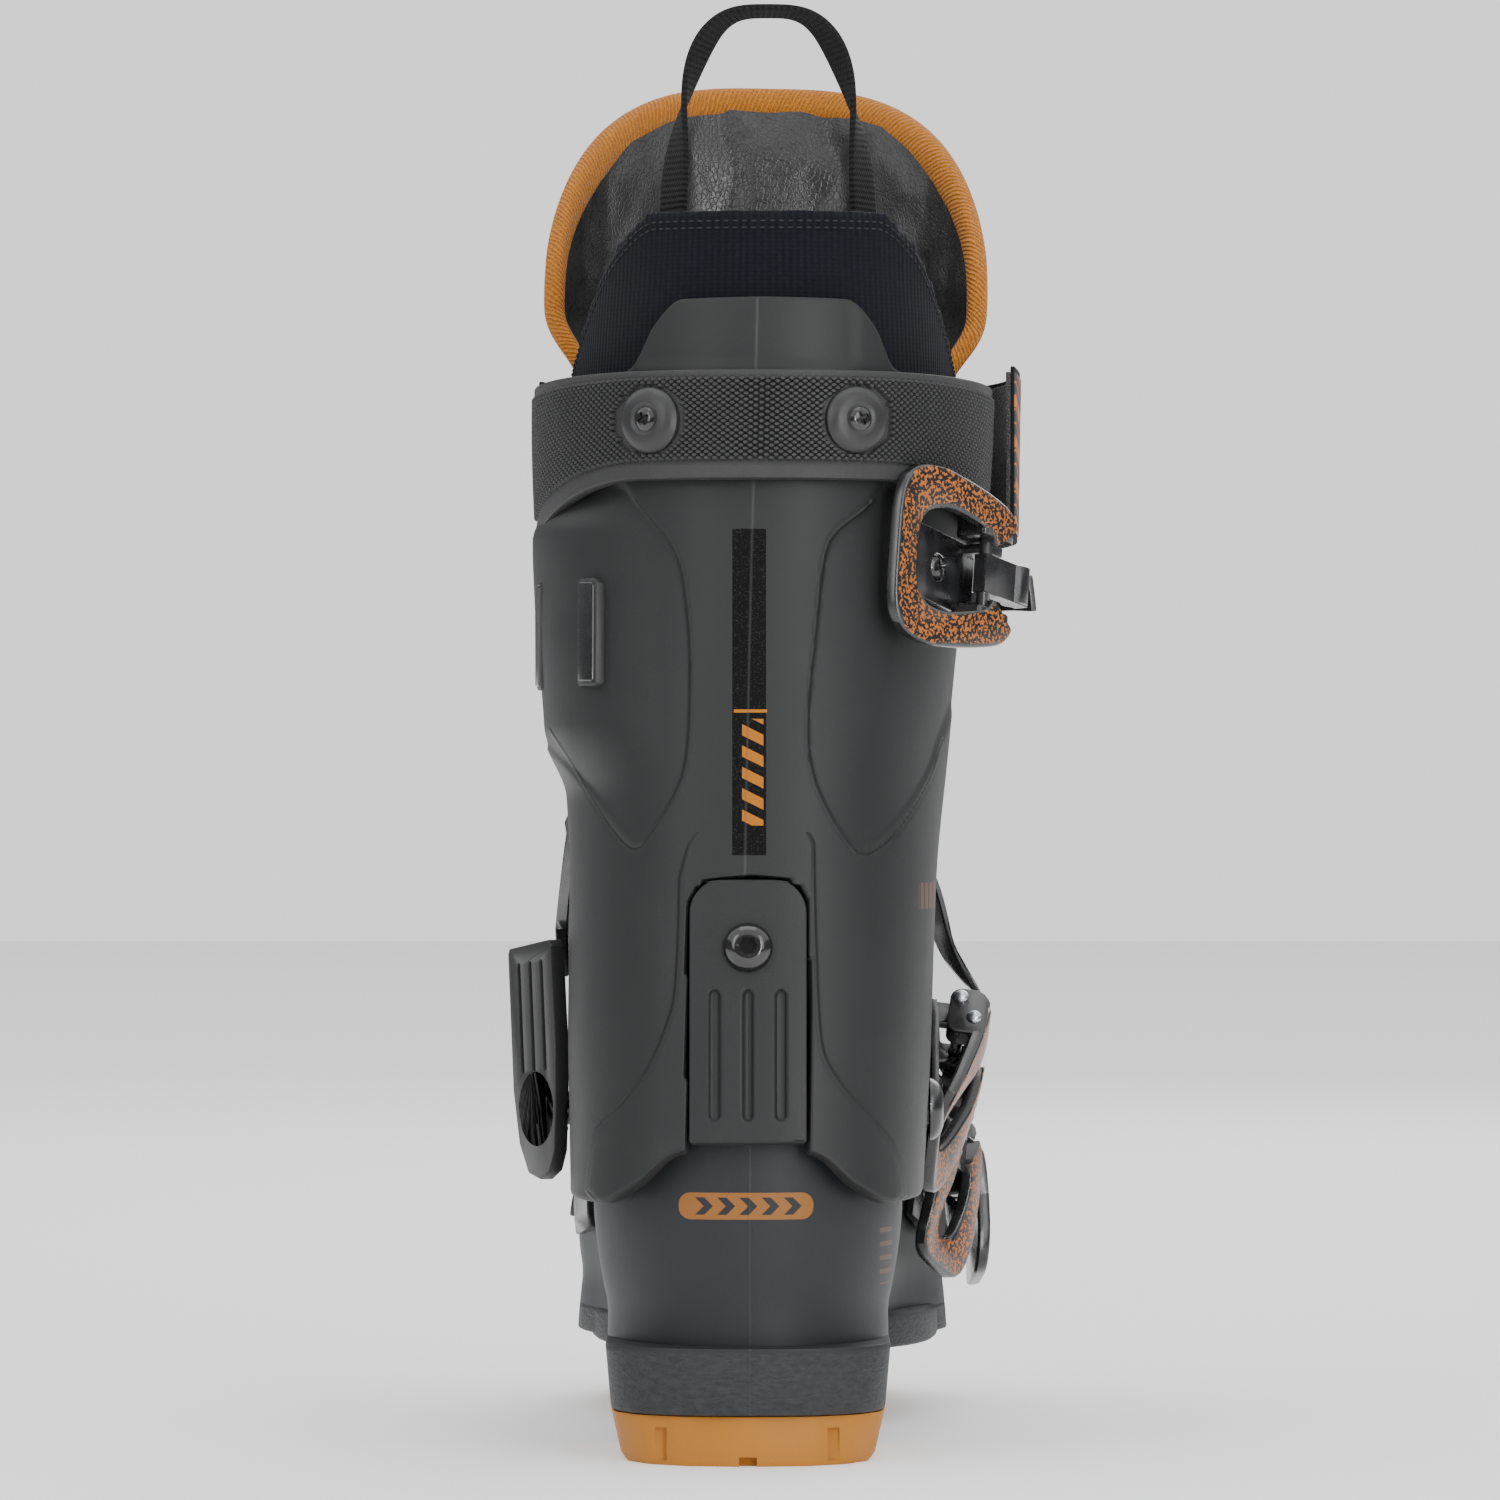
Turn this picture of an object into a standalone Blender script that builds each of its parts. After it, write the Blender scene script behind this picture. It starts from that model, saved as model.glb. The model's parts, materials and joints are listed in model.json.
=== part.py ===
"""Right alpine ski boot, closed: an overlapped shell, a hinged cuff, four buckles, a power strap and a liner.

Metres, +Z up, +Y towards the toe, +X towards the outer side of the foot. The origin is the
centre of the heel pad's bottom face.
"""

import math

import bmesh
import bpy
from mathutils import Matrix, Vector
from mathutils.bvhtree import BVHTree

# Sole, to the sizes that ski bindings grip
SOLE_REAR = -0.045
SOLE_FRONT = 0.262
HEEL_LEDGE_Z = 0.030
TOE_LEDGE_Z = 0.019
HEEL_PAD_TOP = 0.0125
TOE_PAD_TOP = 0.010
HEEL_LUG_HALF = 0.0365
TOE_LUG_HALF = 0.0345
FLANGE_CENTRE = (0.0045, 0.158)
FLANGE_HALF = (0.0475, 0.078)
PAD_GAP = 0.0003
# half the distance between a pad's two screws, and how far along they sit
HEEL_SCREW = (0.020, 0.022)
TOE_SCREW = (0.021, 0.215)

# Lower shell
SHELL_WALL = 0.0042
SHELL_FRONT = 0.2475
# height -> rear of the shell; the spine is set back so that the cuff can flex over it
SHELL_REAR = ((0.022, -0.0372), (0.038, -0.0372), (0.052, -0.0390), (0.07, -0.0405), (0.10, -0.038), (0.13, -0.028),
              (0.155, -0.018))
# length -> height of the instep and toe box on the centre line
SHELL_ROOF = ((-0.04, 0.60), (0.02, 0.33), (0.05, 0.25), (0.08, 0.194), (0.105, 0.163), (0.125, 0.14),
              (0.15, 0.115), (0.185, 0.089), (0.212, 0.0755), (0.236, 0.059), (0.2475, 0.042))
# length -> half-width, and how far the forefoot swings outwards
SHELL_HALF = ((-0.045, 0.0395), (-0.02, 0.0405), (0.06, 0.0402), (0.09, 0.0396), (0.115, 0.0440), (0.155, 0.0570),
              (0.19, 0.0565), (0.2475, 0.047))
SHELL_SHIFT = ((0.08, 0.0), (0.12, 0.002), (0.16, 0.004), (0.2475, 0.001))
SHELL_SQUARE = ((0.08, 2.0), (0.15, 2.2), (0.2475, 3.0))
# the side walls draw in towards the sole below TUCK_TOP and stand upright over the ledges
TUCK_TOP = 0.065
TUCK_FOOT = 0.038
TUCK_DEPTH = 0.100
NARROWEST = 0.0008
RING_LEVELS = (0.022, 0.030, 0.038, 0.050, 0.062, 0.073, 0.085, 0.098, 0.112, 0.127, 0.142, 0.155)

# Cuff, in its own leaned frame: s runs up the shaft from the ankle hinge
ANKLE = Vector((0.0, 0.034, 0.087))
LEAN_FORWARD = math.radians(13.0)
LEAN_OUTWARD = math.radians(1.2)
CUFF_WALL = 0.0045
CUFF_SQUARE = ((-0.03, 2.9), (0.04, 2.7), (0.12, 2.2))
CUFF_HALF = ((-0.03, 0.046), (0.0, 0.047), (0.06, 0.048), (0.10, 0.051), (0.14, 0.054), (0.18, 0.0565), (0.24, 0.0575))
CUFF_BACK = ((-0.023, 0.078), (0.025, 0.082), (0.076, 0.0833), (0.138, 0.084), (0.195, 0.088), (0.25, 0.090))
CUFF_FRONT = ((0.0, 0.112), (0.03, 0.097), (0.06, 0.079), (0.098, 0.0635), (0.15, 0.0617), (0.20, 0.064), (0.30, 0.068))
# degrees from the front -> height of the cuff's lower and upper edge
CUFF_LOW = ((0, 0.172), (20, 0.162), (40, 0.133), (60, 0.095), (80, 0.071), (100, 0.066), (130, 0.066), (150, 0.071),
            (165, 0.079), (180, 0.082))
CUFF_HIGH = ((0, 0.262), (40, 0.266), (90, 0.272), (125, 0.274), (145, 0.283), (160, 0.296), (180, 0.297))
FLAP_OVER_END = -22.0
FLAP_UNDER_END = 374.0
FLAP_STEP = 9.0
FLAP_GAP = 0.0007

# Liner
LINER_GAP = 0.0008
LINER_WALL = 0.0065
BOOTIE_INSET = SHELL_WALL + 0.0021
SHAFT_FOOT = 0.162
SHAFT_HIGH = ((78, 0.270), (105, 0.285), (135, 0.314), (150, 0.321), (180, 0.321))
TONGUE_WALL = 0.007
TONGUE_FOOT = 0.075
TONGUE_SIDE = 72.0
TONGUE_SHOULDER = 0.200
TONGUE_RISE = 0.096

# Pull loop
LOOP_CENTRE = 0.0055
LOOP_HALF = 0.033
LOOP_FOOT = 0.300
LOOP_RISE = 0.072
LOOP_WIDTH = 0.009
LOOP_WALL = 0.0016

# Power strap
STRAP_LOW = ((90, 0.234), (150, 0.249), (180, 0.249))
STRAP_HIGH = ((90, 0.276), (150, 0.277), (180, 0.277))
BAND_END = 84.0
BAND_WALL = 0.0032
WEBBING_WALL = 0.0024
WEBBING_WIDTH = 0.046

COLOURS = {
    "shell_plastic": ((0.036, 0.040, 0.044), 0.55, 0.0),
    "cuff_plastic": ((0.034, 0.036, 0.038), 0.5, 0.0),
    "tan_rubber": ((0.58, 0.25, 0.045), 0.6, 0.0),
    "black_metal": ((0.012, 0.012, 0.013), 0.28, 0.8),
    "black_plastic": ((0.02, 0.02, 0.021), 0.45, 0.0),
    "zinc": ((0.55, 0.56, 0.58), 0.3, 1.0),
    "band_rubber": ((0.022, 0.022, 0.023), 0.7, 0.0),
    "webbing": ((0.014, 0.014, 0.015), 0.85, 0.0),
    "liner_fabric": ((0.008, 0.009, 0.015), 0.9, 0.0),
    "tongue_leather": ((0.012, 0.012, 0.013), 0.5, 0.0),
}


def clear_scene():
    for obj in list(bpy.data.objects):
        bpy.data.objects.remove(obj, do_unlink=True)


def new_collection(name, hidden=False):
    collection = bpy.data.collections.new(name)
    bpy.context.scene.collection.children.link(collection)
    collection.hide_render = hidden
    return collection


clear_scene()
PARTS = new_collection("alpine_ski_boot")
CUTTERS = new_collection("cutters", hidden=True)


def finish_material(name):
    if name in bpy.data.materials:
        return bpy.data.materials[name]
    colour, roughness, metallic = COLOURS[name]
    material = bpy.data.materials.new(name)
    material.use_nodes = True
    shader = material.node_tree.nodes["Principled BSDF"]
    shader.inputs["Base Color"].default_value = (*colour, 1.0)
    shader.inputs["Roughness"].default_value = roughness
    shader.inputs["Metallic"].default_value = metallic
    return material


# ---------------------------------------------------------------- curves and frames


def smooth(x, table):
    """Monotone cubic through the (x, value) pairs of a table, held at its ends."""
    xs = [pair[0] for pair in table]
    ys = [pair[1] for pair in table]
    if x <= xs[0]:
        return ys[0]
    if x >= xs[-1]:
        return ys[-1]
    chords = [(ys[i + 1] - ys[i]) / (xs[i + 1] - xs[i]) for i in range(len(xs) - 1)]
    slopes = [chords[0]]
    for before, after in zip(chords, chords[1:]):
        slopes.append(0.0 if before * after <= 0 else 2 * before * after / (before + after))
    slopes.append(chords[-1])
    i = max(k for k in range(len(xs) - 1) if xs[k] <= x)
    span = xs[i + 1] - xs[i]
    t = (x - xs[i]) / span
    rise = ys[i + 1] - ys[i]
    bend = t * (1 - t) * ((1 - t) * (slopes[i] * span - rise) - t * (slopes[i + 1] * span - rise))
    return ys[i] + rise * t + bend


def ease(t):
    t = min(max(t, 0.0), 1.0)
    return t * t * (3 - 2 * t)


def mix(a, b, t):
    return a + (b - a) * t


def round_end(distance, length, power=2.3):
    """Share of the full width at a distance from a rounded end."""
    if length <= 0 or distance >= length:
        return 1.0
    return (1 - (1 - max(distance, 0.0) / length) ** power) ** (1 / power)


def signed_power(value, power):
    return math.copysign(abs(value) ** power, value)


def roof_at(y):
    return smooth(y, SHELL_ROOF)


def front_at(z):
    """Where the centre line of the instep comes down to height z."""
    low, high = 0.06, SHELL_FRONT
    if roof_at(high) >= z:
        return high
    for _ in range(40):
        middle = (low + high) / 2
        low, high = (middle, high) if roof_at(middle) > z else (low, middle)
    return low


def shell_half(y, z):
    """Half-width of the lower shell's outer face."""
    power = smooth(y, SHELL_SQUARE)
    roof = max(1 - (max(z, 0.0) / roof_at(y)) ** power, 0.0) ** (1 / power)
    tuck = 1 - TUCK_DEPTH * (max(0.0, TUCK_TOP - max(z, TUCK_FOOT)) / (TUCK_TOP - TUCK_FOOT)) ** 1.6
    heel = round_end(y - smooth(z, SHELL_REAR), mix(0.052, 0.062, ease((z - 0.07) / 0.06)), 2.2)
    toe = round_end(SHELL_FRONT - y, 0.055)
    return smooth(y, SHELL_HALF) * roof * tuck * heel * toe


def shell_ring(z, inset=0.0, count=17):
    """Closed outline of the lower shell at height z, anticlockwise from the heel, drawn in by inset."""
    rear = smooth(z, SHELL_REAR) + inset
    front = front_at(z + inset) - inset
    lateral, medial = [], []
    for i in range(count + 1):
        share = (1 - math.cos(math.pi * i / count)) / 2
        outer_y = mix(rear - inset, front + inset, share)
        half = min(shell_half(outer_y, z), shell_half(outer_y, z + inset))
        half = max(half - inset * min(1.0, half / 0.028), NARROWEST) if 0 < i < count else 0.0
        shift = smooth(outer_y, SHELL_SHIFT)
        lateral.append(Vector((shift + half, mix(rear, front, share), z)))
        medial.append(Vector((shift - half, mix(rear, front, share), z)))
    return lateral + medial[-2:0:-1]


def shell_point(y, angle):
    """Outer face of the lower shell round the instep: 0 is the outer side, 90 the top, 180 the inner side."""
    power = smooth(y, SHELL_SQUARE)
    turn = math.radians(angle)
    z = roof_at(y) * abs(math.sin(turn)) ** (2 / power)
    return Vector((smooth(y, SHELL_SHIFT) + math.copysign(shell_half(y, z), math.cos(turn)), y, z))


UP = Vector((math.sin(LEAN_OUTWARD), math.sin(LEAN_FORWARD), math.cos(LEAN_FORWARD))).normalized()
SIDE = (Vector((1, 0, 0)) - UP * UP.x).normalized()
AHEAD = UP.cross(SIDE)


def cuff_point(s, angle, out=0.0):
    """Outer face of the cuff: angle 0 is the shin, 90 the outer side, 180 the calf. out grows the section."""
    turn = math.radians(angle)
    power = 2 / smooth(s, CUFF_SQUARE)
    half = smooth(s, CUFF_HALF) + out
    depth = (smooth(s, CUFF_FRONT) if math.cos(turn) > 0 else smooth(s, CUFF_BACK)) + out
    across = half * signed_power(math.sin(turn), power)
    along = depth * signed_power(math.cos(turn), power)
    return ANKLE + UP * s + SIDE * across + AHEAD * along


def cuff_s(z, angle):
    """How far up the shaft the cuff's outer face reaches height z."""
    s = 0.1
    for _ in range(12):
        s += z - cuff_point(s, angle).z
    return s


def from_front(angle):
    return abs((angle + 180.0) % 360.0 - 180.0)


def flap_lift(angle):
    """The outer flap rides over the inner one across the shin."""
    return (CUFF_WALL + FLAP_GAP) * (1 - ease((angle - 20.0) / 36.0))


def cuff_rear(x, z, out=0.0):
    """Outer face of the cuff's back at a given side position and height."""
    s = 0.1
    angle = 180.0
    for _ in range(14):
        centre = ANKLE + UP * s
        share = min(abs(x - centre.x) / (smooth(s, CUFF_HALF) + out), 0.99)
        angle = 180.0 - math.copysign(math.degrees(math.asin(share ** (smooth(s, CUFF_SQUARE) / 2))), x - centre.x)
        s += z - cuff_point(s, angle, out).z
    return cuff_point(s, angle, out)


# ---------------------------------------------------------------- mesh helpers


def add_object(name, mesh, material, collection=None):
    obj = bpy.data.objects.new(name, mesh)
    (collection or PARTS).objects.link(obj)
    if collection is CUTTERS:
        obj.hide_render = True
        obj.display_type = "WIRE"
    if material:
        mesh.materials.append(finish_material(material))
    return obj


def to_mesh(bm, name, outward=True):
    bmesh.ops.remove_doubles(bm, verts=bm.verts, dist=1e-6)
    if outward:
        bmesh.ops.recalc_face_normals(bm, faces=bm.faces)
    mesh = bpy.data.meshes.new(name)
    bm.to_mesh(mesh)
    bm.free()
    mesh.shade_smooth()
    mesh.set_sharp_from_angle(angle=math.radians(35))
    return mesh


def loft(name, rings, capped=(True, True), material=None, collection=None):
    """Skin through closed rings of equal length, with flat ends where capped."""
    bm = bmesh.new()
    rows = [[bm.verts.new(p) for p in ring] for ring in rings]
    count = len(rows[0])
    for low, high in zip(rows, rows[1:]):
        for i in range(count):
            j = (i + 1) % count
            bm.faces.new((low[i], low[j], high[j], high[i]))
    if capped[0]:
        bm.faces.new(rows[0][::-1])
    if capped[1]:
        bm.faces.new(rows[-1])
    return add_object(name, to_mesh(bm, name, outward=all(capped)), material, collection)


def sheet(name, rows, thickness, material):
    """Open grid of points given a wall inwards by Solidify; rows run up and columns run from outer to inner side."""
    bm = bmesh.new()
    grid = [[bm.verts.new(p) for p in row] for row in rows]
    for low, high in zip(grid, grid[1:]):
        for i in range(len(low) - 1):
            bm.faces.new((low[i], high[i], high[i + 1], low[i + 1]))
    obj = add_object(name, to_mesh(bm, name, outward=False), material)
    wall = obj.modifiers.new("wall", "SOLIDIFY")
    wall.thickness = thickness
    wall.offset = -1.0
    return obj


def triangulate(obj):
    bm = bmesh.new()
    bm.from_mesh(obj.data)
    bmesh.ops.triangulate(bm, faces=bm.faces)
    bm.to_mesh(obj.data)
    bm.free()


def boolean(obj, other, operation):
    """Cuts or joins with another object, which is used up. Bent faces are split first so that the cut is exact."""
    triangulate(obj)
    triangulate(other)
    modifier = obj.modifiers.new(operation.lower(), "BOOLEAN")
    modifier.operation = operation
    modifier.solver = "EXACT"
    modifier.object = other
    apply_modifiers(obj)
    bpy.data.objects.remove(other, do_unlink=True)


def apply_modifiers(obj):
    """Replaces the object's mesh with its evaluated one."""
    graph = bpy.context.evaluated_depsgraph_get()
    graph.update()
    made = bpy.data.meshes.new_from_object(obj.evaluated_get(graph))
    obj.modifiers.clear()
    obj.data = made


def place(obj, point, rotation=None):
    obj.matrix_world = Matrix.Translation(point) @ (rotation or Matrix.Identity(4))
    return obj


def facing(normal, across=None):
    """Rotation whose local Z is normal and, where given, whose local X is near across."""
    z = Vector(normal).normalized()
    x = Vector(across) if across is not None else (Vector((1, 0, 0)) if abs(z.x) < 0.9 else Vector((0, 1, 0)))
    x = (x - z * x.dot(z)).normalized()
    return Matrix((x, z.cross(x), z)).transposed().to_4x4()


def cylinder(name, radius, low, high, material, sides=16, collection=None):
    """Round post along local Z from low to high."""
    bm = bmesh.new()
    bmesh.ops.create_cone(bm, cap_ends=True, segments=sides, radius1=radius, radius2=radius, depth=high - low)
    bmesh.ops.translate(bm, verts=bm.verts, vec=(0, 0, (low + high) / 2))
    return add_object(name, to_mesh(bm, name), material, collection)


def box(name, low, high, material=None, collection=None):
    bm = bmesh.new()
    bmesh.ops.create_cube(bm, size=1.0)
    size = Vector(high) - Vector(low)
    bmesh.ops.scale(bm, verts=bm.verts, vec=size)
    bmesh.ops.translate(bm, verts=bm.verts, vec=(Vector(high) + Vector(low)) / 2)
    return add_object(name, to_mesh(bm, name), material, collection)


def turned(name, profile, material, sides=20):
    """Screw modifier round local Z of a profile given top to bottom as (radius, height)."""
    mesh = bpy.data.meshes.new(name)
    mesh.from_pydata([(r, 0, z) for r, z in profile], [(i, i + 1) for i in range(len(profile) - 1)], [])
    obj = add_object(name, mesh, material)
    screw = obj.modifiers.new("turn", "SCREW")
    screw.steps = sides
    screw.render_steps = sides
    screw.use_merge_vertices = True
    screw.merge_threshold = 0.00001
    apply_modifiers(obj)
    return obj


def screw_head(name, radius, height, shank, material, recess=None, sides=20):
    """Domed screw head standing on local Z = 0 with its shank below, and a recess for the driver."""
    profile = [(0.0, height), (radius * 0.55, height * 0.93), (radius * 0.88, height * 0.55), (radius, 0.0)]
    if shank:
        profile += [(radius * 0.45, 0.0), (radius * 0.45, -shank)]
    profile.append((0.0, profile[-1][1]))
    obj = turned(name, profile, material, sides)
    if recess == "hex":
        tool = cylinder(name + "_hex", radius * 0.42, height * 0.35, height + 0.002, None, 6, CUTTERS)
        boolean(obj, tool, "DIFFERENCE")
    if recess == "cross":
        for turn in (0, 90):
            arm = box(name + "_slot", (-radius * 0.5, -radius * 0.11, height * 0.4),
                      (radius * 0.5, radius * 0.11, height + 0.002), None, CUTTERS)
            arm.data.transform(Matrix.Rotation(math.radians(turn), 4, "Z"))
            boolean(obj, arm, "DIFFERENCE")
    return obj


def sole_outline(rear, front, half, rear_round, front_round, count=9, z=0.0, shift=0.0):
    """Closed plan outline with rounded or straight ends."""
    lateral, medial = [], []
    for i in range(count + 1):
        y = mix(rear, front, (1 - math.cos(math.pi * i / count)) / 2)
        w = half * round_end(y - rear, rear_round, 2.4) * round_end(front - y, front_round, 2.4)
        lateral.append(Vector((shift + w, y, z)))
        if w > 1e-6:
            medial.append(Vector((shift - w, y, z)))
    return lateral + medial[::-1]


def slab(name, levels, rear, front, rear_round, front_round, material, collection=None):
    """Sole piece through (height, half-width) levels."""
    rings = [sole_outline(rear, front, half, rear_round, front_round, 9, z) for z, half in levels]
    return loft(name, rings, (True, True), material, collection)


# ---------------------------------------------------------------- lower shell and sole


def make_lower_shell():
    rings = [shell_ring(z) for z in RING_LEVELS]
    obj = loft("lower_shell", rings, (True, False), "shell_plastic")
    wall = obj.modifiers.new("wall", "SOLIDIFY")
    wall.thickness = SHELL_WALL
    wall.offset = -1.0
    apply_modifiers(obj)
    heel_bottom = HEEL_PAD_TOP + PAD_GAP
    toe_bottom = TOE_PAD_TOP + PAD_GAP
    blocks = (
        slab("heel_lug", ((heel_bottom, 0.035), (HEEL_LEDGE_Z, HEEL_LUG_HALF)), SOLE_REAR, 0.036, 0.032, 0.0, None),
        slab("arch", ((0.018, 0.0335), (0.0285, 0.036)), 0.020, 0.150, 0.0, 0.0, None),
        slab("toe_lug", ((toe_bottom, 0.0335), (TOE_LEDGE_Z, TOE_LUG_HALF)), 0.132, SOLE_FRONT, 0.0, 0.034, None),
        slab("toe_base", ((0.0155, 0.0347), (0.0275, 0.0347)), 0.1335, 0.2462, 0.0, 0.034, None),
        loft("flange", [forefoot_flange(0.0205), forefoot_flange(0.0297)]),
    )
    for block in blocks:
        boolean(obj, block, "UNION")
    for seat in screw_seats():
        tool = cylinder("seat", 0.0024, -0.002, 0.009, None, 12, CUTTERS)
        place(tool, Vector(seat))
        boolean(obj, tool, "DIFFERENCE")
    return obj


def forefoot_flange(z):
    """Edge of the welt that runs round the forefoot, wider than the wall above it."""
    points = []
    for i in range(24):
        angle = 2 * math.pi * i / 24
        x = FLANGE_CENTRE[0] + FLANGE_HALF[0] * signed_power(math.cos(angle), 0.8)
        y = FLANGE_CENTRE[1] + FLANGE_HALF[1] * signed_power(math.sin(angle), 0.8)
        points.append(Vector((x, y, z)))
    return points


def screw_seats():
    """(x, y, z) of the holes that the sole screws go up into."""
    heel = [(side * HEEL_SCREW[0], HEEL_SCREW[1], HEEL_PAD_TOP) for side in (-1, 1)]
    toe = [(side * TOE_SCREW[0], TOE_SCREW[1], TOE_PAD_TOP) for side in (-1, 1)]
    return heel + toe


def make_sole_pads():
    heel = slab("heel_pad", ((0.0, 0.0315), (0.0015, 0.0325), (HEEL_PAD_TOP, 0.035)), SOLE_REAR + 0.0015, 0.036,
                0.031, 0.0, "tan_rubber")
    toe = slab("toe_pad", ((0.0, 0.0305), (0.0015, 0.0315), (TOE_PAD_TOP, 0.0335)), 0.135, SOLE_FRONT - 0.0005,
               0.0, 0.033, "tan_rubber")
    for x in (-0.022, 0.0216):
        slot = box("heel_slot", (x - 0.0015, -0.060, 0.0012), (x + 0.0015, -0.036, 0.0095), None, CUTTERS)
        boolean(heel, slot, "DIFFERENCE")
    notch = box("heel_notch", (-0.00225, -0.060, -0.001), (0.00225, -0.040, 0.0024), None, CUTTERS)
    boolean(heel, notch, "DIFFERENCE")
    names = ("heel_pad_screw_inner", "heel_pad_screw_outer", "toe_pad_screw_inner", "toe_pad_screw_outer")
    for name, pad, (x, y, z) in zip(names, (heel, heel, toe, toe), screw_seats()):
        seat = turned("countersink", ((0.0, z + 0.002), (0.0025, z + 0.002), (0.0025, 0.0062), (0.0058, 0.0030),
                                      (0.0058, -0.002), (0.0, -0.002)), None)
        place(seat, Vector((x, y, 0)))
        boolean(pad, seat, "DIFFERENCE")
        head = turned(name, ((0.0, z + 0.006), (0.0020, z + 0.006), (0.0020, 0.0064), (0.0053, 0.0034),
                             (0.0053, 0.0022), (0.0, 0.0022)), "black_metal")
        place(head, Vector((x, y, 0)))


# ---------------------------------------------------------------- cuff and what is bolted to it


def make_cuff():
    columns = []
    angle = FLAP_OVER_END
    while angle < FLAP_UNDER_END + 1e-6:
        columns.append(angle)
        angle += FLAP_STEP
    rows = []
    for i in range(10):
        row = []
        for angle in columns:
            apart = from_front(angle)
            low = cuff_s(smooth(apart, CUFF_LOW), angle)
            high = cuff_s(smooth(apart, CUFF_HIGH), angle)
            row.append(cuff_point(mix(low, high, i / 9), angle, flap_lift(angle)))
        rows.append(row)
    cuff = sheet("cuff", rows, CUFF_WALL, "cuff_plastic")
    apply_modifiers(cuff)
    notch = loft("spine_notch", [arch_outline(-0.075, 0.0162, 0.060, 0.1492, 0.009),
                                 arch_outline(-0.015, 0.0162, 0.060, 0.1492, 0.009)], (True, True), None, CUTTERS)
    boolean(cuff, notch, "DIFFERENCE")
    for side in (-1, 1):
        hole = cylinder("ankle_hole", 0.0058, 0.03, 0.07, None, 16, CUTTERS)
        place(hole, Vector((0, ANKLE.y, ANKLE.z)), facing((side, 0, 0)))
        boolean(cuff, hole, "DIFFERENCE")
    return cuff


def arch_outline(y, half, low, high, corner):
    """Upright outline at a given y, with both top corners rounded."""
    points = [Vector((-half, y, low)), Vector((half, y, low))]
    for side, start in ((1, 0), (-1, 90)):
        for i in range(5):
            turn = math.radians(start + 22.5 * i)
            points.append(Vector((side * (half - corner) + corner * math.cos(turn), y,
                                  high - corner + corner * math.sin(turn))))
    return points


def make_spine():
    half, low, high, corner = 0.015, 0.0818, 0.148, 0.008
    rows = []
    for i in range(8):
        z = mix(low, high, i / 7)
        over = max(0.0, z - (high - corner))
        narrow = half - corner + math.sqrt(max(corner**2 - over**2, 0.0)) if over else half
        rows.append([cuff_rear(x * narrow, z) for x in (1, 0.5, 0, -0.5, -1)])
    plate = sheet("spine_plate", rows, CUFF_WALL, "cuff_plastic")
    apply_modifiers(plate)
    profile = []
    for z in (0.092, 0.112, 0.132, 0.141):
        profile.append((cuff_rear(0, z).y + 0.0020, z))
    for z in (0.141, 0.132, 0.112, 0.092):
        profile.append((smooth(z, SHELL_REAR) - 0.0006, z))
    standoff = loft("spine_standoff", [[Vector((x, y, z)) for y, z in profile] for x in (-0.009, 0.009)])
    boolean(plate, standoff, "UNION")
    for x in (-0.0084, 0.0, 0.0083):
        at = cuff_rear(x, 0.1035)
        groove = box("groove", (x - 0.00125, at.y - 0.006, 0.0868), (x + 0.00125, at.y + 0.0011, 0.1205), None, CUTTERS)
        boolean(plate, groove, "DIFFERENCE")
    seat = cuff_rear(0, 0.1307)
    out = Vector((0, -0.985, 0.17))
    hole = cylinder("spine_hole", 0.0031, -0.014, 0.004, None, 12, CUTTERS)
    place(hole, seat, facing(out))
    boolean(plate, hole, "DIFFERENCE")
    bolt = screw_head("spine_bolt", 0.0063, 0.0034, 0.0115, "black_metal", "hex")
    place(bolt, seat + out * 0.0006, facing(out))
    return plate


def make_ankle_bolts():
    for name, side in (("ankle_bolt_outer", 1), ("ankle_bolt_inner", -1)):
        x = cuff_point(0.0, 90.0 * side).x
        bolt = screw_head(name, 0.0082, 0.0030, 0.0042, "black_metal", "hex", 24)
        place(bolt, Vector((x + side * 0.0006, ANKLE.y, ANKLE.z)), facing((side, 0, 0)))


def cuff_frame(s, angle, heading=0.0, tilt=0.0):
    """(point, across, along, normal) on the cuff: along points backwards round the cuff, turned downwards by heading."""
    point = cuff_point(s, angle)
    back = cuff_point(s, angle + 1) - cuff_point(s, angle - 1)
    rise = cuff_point(s + 0.002, angle) - cuff_point(s - 0.002, angle)
    return oriented(point, back.normalized(), rise.normalized(), heading, tilt)


def shell_frame(y, angle, heading=90.0, tilt=0.0):
    """The same on the lower shell's outer side, where along points down the wall."""
    point = shell_point(y, angle)
    back = shell_point(y - 0.002, angle) - shell_point(y + 0.002, angle)
    rise = shell_point(y, angle + 2) - shell_point(y, angle - 2)
    return oriented(point, back.normalized(), rise.normalized(), heading, tilt)


def oriented(point, back, rise, heading, tilt):
    normal = back.cross(rise).normalized()
    if normal.dot(point - Vector((0, point.y, point.z))) < 0:
        normal = -normal
    back = (back - normal * back.dot(normal)).normalized()
    up = back.cross(normal)
    if up.z < 0:
        up = -up
    turn = math.radians(heading)
    along = back * math.cos(turn) - up * math.sin(turn)
    lean = math.radians(tilt)
    along, normal = along * math.cos(lean) - normal * math.sin(lean), normal * math.cos(lean) + along * math.sin(lean)
    return point, along.cross(normal).normalized(), along, normal


def frame_matrix(frame):
    point, across, along, normal = frame
    turned_axes = Matrix((across, along, normal)).transposed().to_4x4()
    return Matrix.Translation(point) @ turned_axes


# ---------------------------------------------------------------- strips that follow the shell


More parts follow.
